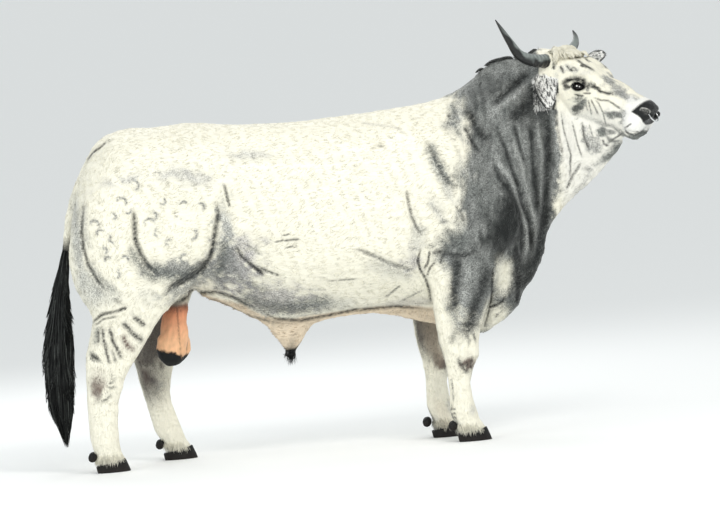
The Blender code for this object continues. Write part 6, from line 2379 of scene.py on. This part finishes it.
class Board:
    """A board of shader nodes, with short ways to place and join them."""

    def __init__(self, tree: bpy.types.ShaderNodeTree) -> None:
        """Takes the tree that the nodes go into."""
        self.tree = tree

    def feed(self, source: object, target: bpy.types.NodeSocket) -> None:
        """Joins a source to a socket, or gives the socket a value of its own.

        Args:
            source: an output socket, or a value.
            target: the input socket.
        """
        if isinstance(source, bpy.types.NodeSocket):
            self.tree.links.new(source, target)
        else:
            target.default_value = source

    def node(self, kind: str, *sources: object, **values: object) -> bpy.types.Node:
        """Places a node.

        Args:
            kind: the node's type without its prefix.
            sources: what feeds the first inputs, in their order.
            values: options by name, and what feeds other inputs, with underscores for spaces.

        Returns:
            The new node.
        """
        node = self.tree.nodes.new(f"ShaderNode{kind}")
        for name, value in values.items():
            if hasattr(node, name):
                setattr(node, name, value)
            else:
                self.feed(value, node.inputs[name.replace("_", " ")])
        for source, target in zip(sources, node.inputs):
            self.feed(source, target)
        return node

    def stored(self, name: str, output: str = "Fac") -> bpy.types.NodeSocket:
        """What the mesh stores under a name."""
        return self.node("Attribute", attribute_name=name).outputs[output]

    def place(self) -> bpy.types.NodeSocket:
        """The place on the object."""
        return self.node("TexCoord").outputs["Object"]

    def math(self, operation: str, *sources: object) -> bpy.types.NodeSocket:
        """The result of a sum with these sources."""
        return self.node("Math", *sources, operation=operation).outputs[0]

    def ramp(self, source: bpy.types.NodeSocket, span: Spot, result: Spot,
             kind: str = "LINEAR") -> bpy.types.NodeSocket:
        """A value moved from one span to another.

        Args:
            source: the value.
            span: its two ends.
            result: what the ends become.
            kind: how the value runs between them.

        Returns:
            The moved value.
        """
        node = self.node("MapRange", source, interpolation_type=kind, From_Min=span[0], From_Max=span[1],
                         To_Min=result[0], To_Max=result[1])
        return node.outputs["Result"]

    def mix(self, share: bpy.types.NodeSocket, first: bpy.types.NodeSocket,
            second: bpy.types.NodeSocket) -> bpy.types.NodeSocket:
        """A value between two others.

        Args:
            share: 0 for the first and 1 for the second.
            first: one value.
            second: the other one.

        Returns:
            The mixed value.
        """
        node = self.node("Mix", data_type="FLOAT", Factor=share)
        self.feed(first, node.inputs[2])
        self.feed(second, node.inputs[3])
        return node.outputs[0]

    def scaled(self, colour: object, share: bpy.types.NodeSocket) -> bpy.types.NodeSocket:
        """A colour made lighter or darker."""
        return self.node("VectorMath", colour, operation="SCALE", Scale=share).outputs[0]

    def bump(self, height: bpy.types.NodeSocket, strength: float, depth: float) -> bpy.types.NodeSocket:
        """The direction of a surface with fine relief."""
        return self.node("Bump", Strength=strength, Distance=depth, Height=height).outputs["Normal"]

    def grain(self, stretch: Point) -> bpy.types.Node:
        """The shared hair grain with its own stretch."""
        return self.node("Group", stretch, node_tree=hair_grain())

    def stippled(self, colour: bpy.types.NodeSocket) -> bpy.types.NodeSocket:
        """A colour with the shared speckle."""
        return self.node("Group", colour, node_tree=stipple()).outputs["Colour"]


class MaterialBoard(Board):
    """The board of one material, with its shader."""

    def __init__(self, name: str) -> None:
        """Starts a material with its shader alone.

        Args:
            name: its name.
        """
        self.material = bpy.data.materials.new(name)
        self.material.use_nodes = True
        super().__init__(self.material.node_tree)

    def finish(self, **values: object) -> bpy.types.Material:
        """Feeds the shader.

        Args:
            values: values or sources by the socket's name, with underscores for spaces.

        Returns:
            The finished material.
        """
        shader = self.tree.nodes["Principled BSDF"]
        for name, value in values.items():
            self.feed(value, shader.inputs[name.replace("_", " ")])
        return self.material


class SharedBoard(Board):
    """The board of an effect that several materials share."""

    def __init__(self, name: str, given: tuple[str, str], made: dict[str, str]) -> None:
        """Starts the effect.

        Args:
            name: its name.
            given: name and kind of its input.
            made: kinds of its outputs by name.
        """
        super().__init__(bpy.data.node_groups.new(name, "ShaderNodeTree"))
        self.tree.interface.new_socket(given[0], in_out="INPUT", socket_type=f"NodeSocket{given[1]}")
        for title, kind in made.items():
            self.tree.interface.new_socket(title, in_out="OUTPUT", socket_type=f"NodeSocket{kind}")
        self.given = self.tree.nodes.new("NodeGroupInput").outputs[given[0]]
        self.ends = self.tree.nodes.new("NodeGroupOutput")

    def finish(self, **values: bpy.types.NodeSocket) -> bpy.types.ShaderNodeTree:
        """Feeds the effect's outputs.

        Args:
            values: sources by the output's name.

        Returns:
            The finished effect.
        """
        for name, value in values.items():
            self.feed(value, self.ends.inputs[name])
        return self.tree


@functools.cache
def hair_grain() -> bpy.types.ShaderNodeTree:
    """Shared effect: fine hair streaks along one direction, as a tone and a height.

    Returns:
        The effect, made once.
    """
    board = SharedBoard("hair grain", ("Stretch", "Vector"), {"Tone": "Float", "Height": "Float"})
    scale = board.node("VectorMath", board.place(), board.given, operation="MULTIPLY").outputs[0]
    fine = board.node("TexNoise", scale, Scale=1.0, Detail=3.0, Roughness=0.6).outputs["Fac"]
    broad = board.node("TexNoise", scale, Scale=0.22, Detail=2.0, Roughness=0.5).outputs["Fac"]
    return board.finish(Tone=board.math("ADD", fine, broad), Height=fine)


@functools.cache
def stipple() -> bpy.types.ShaderNodeTree:
    """Shared effect: fine speckle in a colour's middle tones, spared where the colour is strong.

    Returns:
        The effect, made once.
    """
    board = SharedBoard("stipple", ("Colour", "Color"), {"Colour": "Color"})
    speck = board.node("TexNoise", board.place(), Scale=190.0, Detail=2.0, Roughness=0.6).outputs["Fac"]
    sharp = board.ramp(speck, (0.40, 0.62), (-0.42, 0.42))
    value = board.node("RGBToBW", board.given).outputs["Val"]
    pale = board.ramp(value, (0.86, 0.50), (0.0, 1.0))
    deep = board.ramp(value, (0.01, 0.12), (0.35, 1.0))
    strong = board.node("SeparateColor", board.given, mode="HSV").outputs["Green"]
    plain = board.ramp(strong, (0.30, 0.12), (0.0, 1.0))
    middle = board.math("MULTIPLY", board.math("MULTIPLY", pale, plain), deep)
    return board.finish(Colour=board.scaled(board.given, board.math("MULTIPLY_ADD", sharp, middle, 1.0)))


@dataclass(frozen=True)
class HideFinish:
    """Skin under the coat: its stored colours, hair grain, pores where bare and shine where moist."""

    name: str = "hide"
    along: Point = (26.0, 240.0, 240.0)
    down: Point = (240.0, 240.0, 26.0)
    tones: Spot = (0.80, 1.06)
    pore_scale: float = 300.0
    pore_depth: Spot = (0.40, 0.55)
    relief: float = 0.0022
    roughness: Spot = (0.72, 0.30)

    def make(self) -> bpy.types.Material:
        """Makes the material.

        Returns:
            The material.
        """
        board = MaterialBoard(self.name)
        level, falling, upright = board.grain(self.along), board.grain(self.down), board.stored("Upright")
        tone, height = (board.mix(upright, level.outputs[name], falling.outputs[name]) for name in ("Tone", "Height"))
        pores = board.node("TexVoronoi", board.place(), feature="DISTANCE_TO_EDGE", Scale=self.pore_scale)
        deep = board.ramp(pores.outputs["Distance"], (0.0, 0.16), self.pore_depth, "SMOOTHSTEP")
        relief = board.mix(board.stored("Bare"), height, deep)
        return board.finish(
            Base_Color=board.scaled(board.stippled(board.stored("Coat", "Color")),
                                    board.ramp(tone, (0.55, 1.45), self.tones)),
            Normal=board.bump(relief, 0.55, self.relief),
            Roughness=board.ramp(board.stored("Wet"), (0.0, 1.0), self.roughness),
            Specular_IOR_Level=0.30, Sheen_Weight=0.12, Sheen_Roughness=0.4)


@dataclass(frozen=True)
class HairFinish:
    """Tufts and strands: their stored colour with a soft silky shine."""

    name: str
    roughness: float = 0.55
    sheen: float = 0.15
    shine: float = 0.30
    stretch: Point = (90.0, 90.0, 90.0)
    tones: Spot = (0.90, 1.05)

    def make(self) -> bpy.types.Material:
        """Makes the material.

        Returns:
            The material.
        """
        board = MaterialBoard(self.name)
        tone = board.ramp(board.grain(self.stretch).outputs["Tone"], (0.6, 1.4), self.tones)
        return board.finish(Base_Color=board.scaled(board.stippled(board.stored("Coat", "Color")), tone),
                            Roughness=self.roughness, Sheen_Weight=self.sheen, Specular_IOR_Level=self.shine)


@dataclass(frozen=True)
class HornFinish:
    """Horn and hoof: stored colour, growth lines across and fine fibres along."""

    name: str
    roughness: float = 0.38
    lines: float = 90.0
    bump: float = 0.25
    shine: float = 0.5
    tones: Spot = (0.78, 1.16)

    def make(self) -> bpy.types.Material:
        """Makes the material.

        Returns:
            The material.
        """
        board = MaterialBoard(self.name)
        grain = board.grain((150.0, 150.0, self.lines))
        tone = board.ramp(grain.outputs["Tone"], (0.5, 1.5), self.tones)
        height = grain.outputs["Height"]
        return board.finish(
            Base_Color=board.scaled(board.stored("Coat", "Color"), tone),
            Roughness=board.ramp(height, (0.3, 0.7), (self.roughness - 0.08, self.roughness + 0.14)),
            Normal=board.bump(height, self.bump, 0.001), Specular_IOR_Level=self.shine)


@dataclass(frozen=True)
class EyeFinish:
    """The eyeball: stored iris, pupil and painted highlights under a clear wet coat."""

    name: str = "eye gloss"
    stretch: Point = (900.0, 900.0, 900.0)
    tones: Spot = (0.75, 1.25)

    def make(self) -> bpy.types.Material:
        """Makes the material.

        Returns:
            The material.
        """
        board = MaterialBoard(self.name)
        tone = board.ramp(board.grain(self.stretch).outputs["Tone"], (0.6, 1.4), self.tones)
        return board.finish(Base_Color=board.scaled(board.stored("Coat", "Color"), tone), Roughness=0.10,
                            Specular_IOR_Level=0.05, Coat_Weight=0.40, Coat_Roughness=0.02)


@dataclass(frozen=True)
class MetalFinish:
    """The nose ring: bright steel with fine wear."""

    name: str = "ring steel"
    colour: Colour = rgb(226, 228, 228)
    stretch: Point = (700.0, 700.0, 700.0)
    tones: Spot = (0.86, 1.0)
    roughness: Spot = (0.14, 0.34)

    def make(self) -> bpy.types.Material:
        """Makes the material.

        Returns:
            The material.
        """
        board = MaterialBoard(self.name)
        grain = board.grain(self.stretch)
        tone = board.ramp(grain.outputs["Tone"], (0.5, 1.5), self.tones)
        rough = board.ramp(grain.outputs["Height"], (0.3, 0.7), self.roughness)
        return board.finish(Base_Color=board.scaled(self.colour, tone), Roughness=rough, Metallic=1.0)


@dataclass(frozen=True)
class PaperFinish:
    """The studio's pale floor."""

    name: str = "pale floor"
    colour: Colour = rgb(249, 250, 249)

    def make(self) -> bpy.types.Material:
        """Makes the material."""
        return MaterialBoard(self.name).finish(Base_Color=(*self.colour, 1.0), Roughness=0.9, Specular_IOR_Level=0.1)


def dress(obj: bpy.types.Object, material: bpy.types.Material) -> bpy.types.Object:
    """Gives the object one material.

    Args:
        obj: the object.
        material: the material.

    Returns:
        The dressed object.
    """
    obj.data.materials.clear()
    obj.data.materials.append(material)
    return obj


# The studio


@dataclass(frozen=True)
class Studio:
    """Pale floor, soft lights and the camera at the drawing's angle."""

    target: Point = (0.0306, -0.2, 0.877)
    distance: float = 40.0
    look_down: float = math.radians(3.0)
    roll: float = math.radians(4.92)
    lens: float = 445.7
    aim: Point = (0.0, 0.0, 0.9)
    sky: tuple[float, ...] = (0.93, 0.96, 0.97, 1.0)
    sky_strength: float = 0.79

    def clear(self) -> None:
        """Removes the objects of a fresh scene."""
        for name in ("Cube", "Light", "Camera"):
            if name in bpy.data.objects:
                bpy.data.objects.remove(bpy.data.objects[name])

    def floor(self) -> None:
        """Lays a large pale floor."""
        bpy.ops.mesh.primitive_circle_add(vertices=96, radius=420.0, fill_type="NGON", location=(0, 0, 0))
        floor = bpy.context.active_object
        floor.name = "studio_floor"
        dress(floor, PaperFinish().make())

    def light(self, name: str, place: Point, size: float, power: float, colour: Colour) -> None:
        """Adds a soft square light that faces the bull.

        Args:
            name: its name.
            place: where it stands.
            size: its width in metres.
            power: its power in watts.
            colour: the colour of its light.
        """
        lamp = bpy.data.lights.new(name, "AREA")
        lamp.shape = "SQUARE"
        lamp.size = size
        lamp.energy = power
        lamp.color = colour
        obj = bpy.data.objects.new(name, lamp)
        bpy.context.scene.collection.objects.link(obj)
        obj.location = place
        obj.rotation_euler = (Vector(self.aim) - Vector(place)).to_track_quat("-Z", "Y").to_euler()

    def lights(self) -> None:
        """Adds the lights and the pale surround."""
        world = bpy.data.worlds.new("pale surround")
        bpy.context.scene.world = world
        world.use_nodes = True
        background = world.node_tree.nodes["Background"]
        background.inputs["Color"].default_value = self.sky
        background.inputs["Strength"].default_value = self.sky_strength
        self.light("key", (2.2, -5.4, 5.6), 2.4, 196.0, (1.0, 0.975, 0.94))
        self.light("fill", (-5.0, -5.0, 2.6), 4.0, 62.0, (0.96, 0.98, 1.0))
        self.light("catch", (-0.4, -6.6, 3.4), 1.1, 34.0, (1.0, 1.0, 1.0))
        self.light("rim", (-1.5, 5.0, 4.6), 3.0, 95.0, (1.0, 1.0, 1.0))

    def camera(self) -> None:
        """Adds the camera: a long lens, slightly above, turned a little as the drawing is."""
        forward = Vector((0.0, math.cos(self.look_down), -math.sin(self.look_down)))
        up = Vector((0.0, math.sin(self.look_down), math.cos(self.look_down)))
        right = Vector((1.0, 0.0, 0.0))
        level = right * math.cos(self.roll) - up * math.sin(self.roll)
        high = right * math.sin(self.roll) + up * math.cos(self.roll)
        data = bpy.data.cameras.new("camera")
        data.lens = self.lens
        data.sensor_width = 36.0
        data.clip_end = 1000.0
        camera = bpy.data.objects.new("camera", data)
        bpy.context.scene.collection.objects.link(camera)
        turn = Matrix((level, high, -forward)).transposed().to_4x4()
        camera.matrix_world = Matrix.Translation(Vector(self.target) - forward * self.distance) @ turn
        bpy.context.scene.camera = camera

    def build(self) -> None:
        """Sets the whole studio up."""
        self.floor()
        self.lights()
        self.camera()
        bpy.context.scene.view_settings.view_transform = "Standard"


def main() -> None:
    """Builds the dressed bull in its studio."""
    logging.basicConfig(level=logging.INFO, format="%(message)s")
    studio = Studio()
    studio.clear()
    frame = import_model()
    studio.build()
    markings = Markings()
    skin = dress(Skin(markings=markings).build(), HideFinish().make())
    surface = Surface(skin)
    tufts = HairFinish("coat hair").make()
    for piece in Coat(markings).build(surface):
        dress(piece, tufts)
    long_hair = LongHair(surface)
    dress(seat(long_hair.topknot(), Slot.PALE_COAT), tufts)
    dress(seat(long_hair.crest(), Slot.DARK_COAT), tufts)
    dress(seat(long_hair.ear_hair(), Slot.PALE_COAT), tufts)
    dress(seat(long_hair.fringe(markings), Slot.PALE_COAT), tufts)
    dark_hair = HairFinish("dark hair", roughness=0.60, sheen=0.0, shine=0.22).make()
    dress(seat(long_hair.switch(), Slot.SWITCH, "tail_switch"), dark_hair)
    dress(seat(long_hair.sheath_tuft(), Slot.DARK_COAT), dark_hair)
    dress(seat(long_hair.lashes(), Slot.DARK_COAT), dark_hair)
    horn = HornFinish("horn").make()
    for side in Side:
        dress(Horn(side).build(), horn)
    eye = EyeFinish().make()
    for socket in SOCKETS:
        dress(Eye(socket).build(), eye)
    hoof = HornFinish("hoof horn", roughness=0.50, lines=420.0, bump=0.35, shine=0.22).make()
    for piece in Hooves().build([node for node in frame["nodes"] if "claw" in node]):
        dress(piece, hoof)
    dress(NoseRing().build(), MetalFinish().make())
    for obj in bpy.data.objects:
        if obj.type == "MESH" and len(obj.data.polygons) > 20_000:
            obj.data.calc_loop_triangles()
            log.info("%s: %d triangles", obj.name, len(obj.data.loop_triangles))


if __name__ == "__main__":
    main()
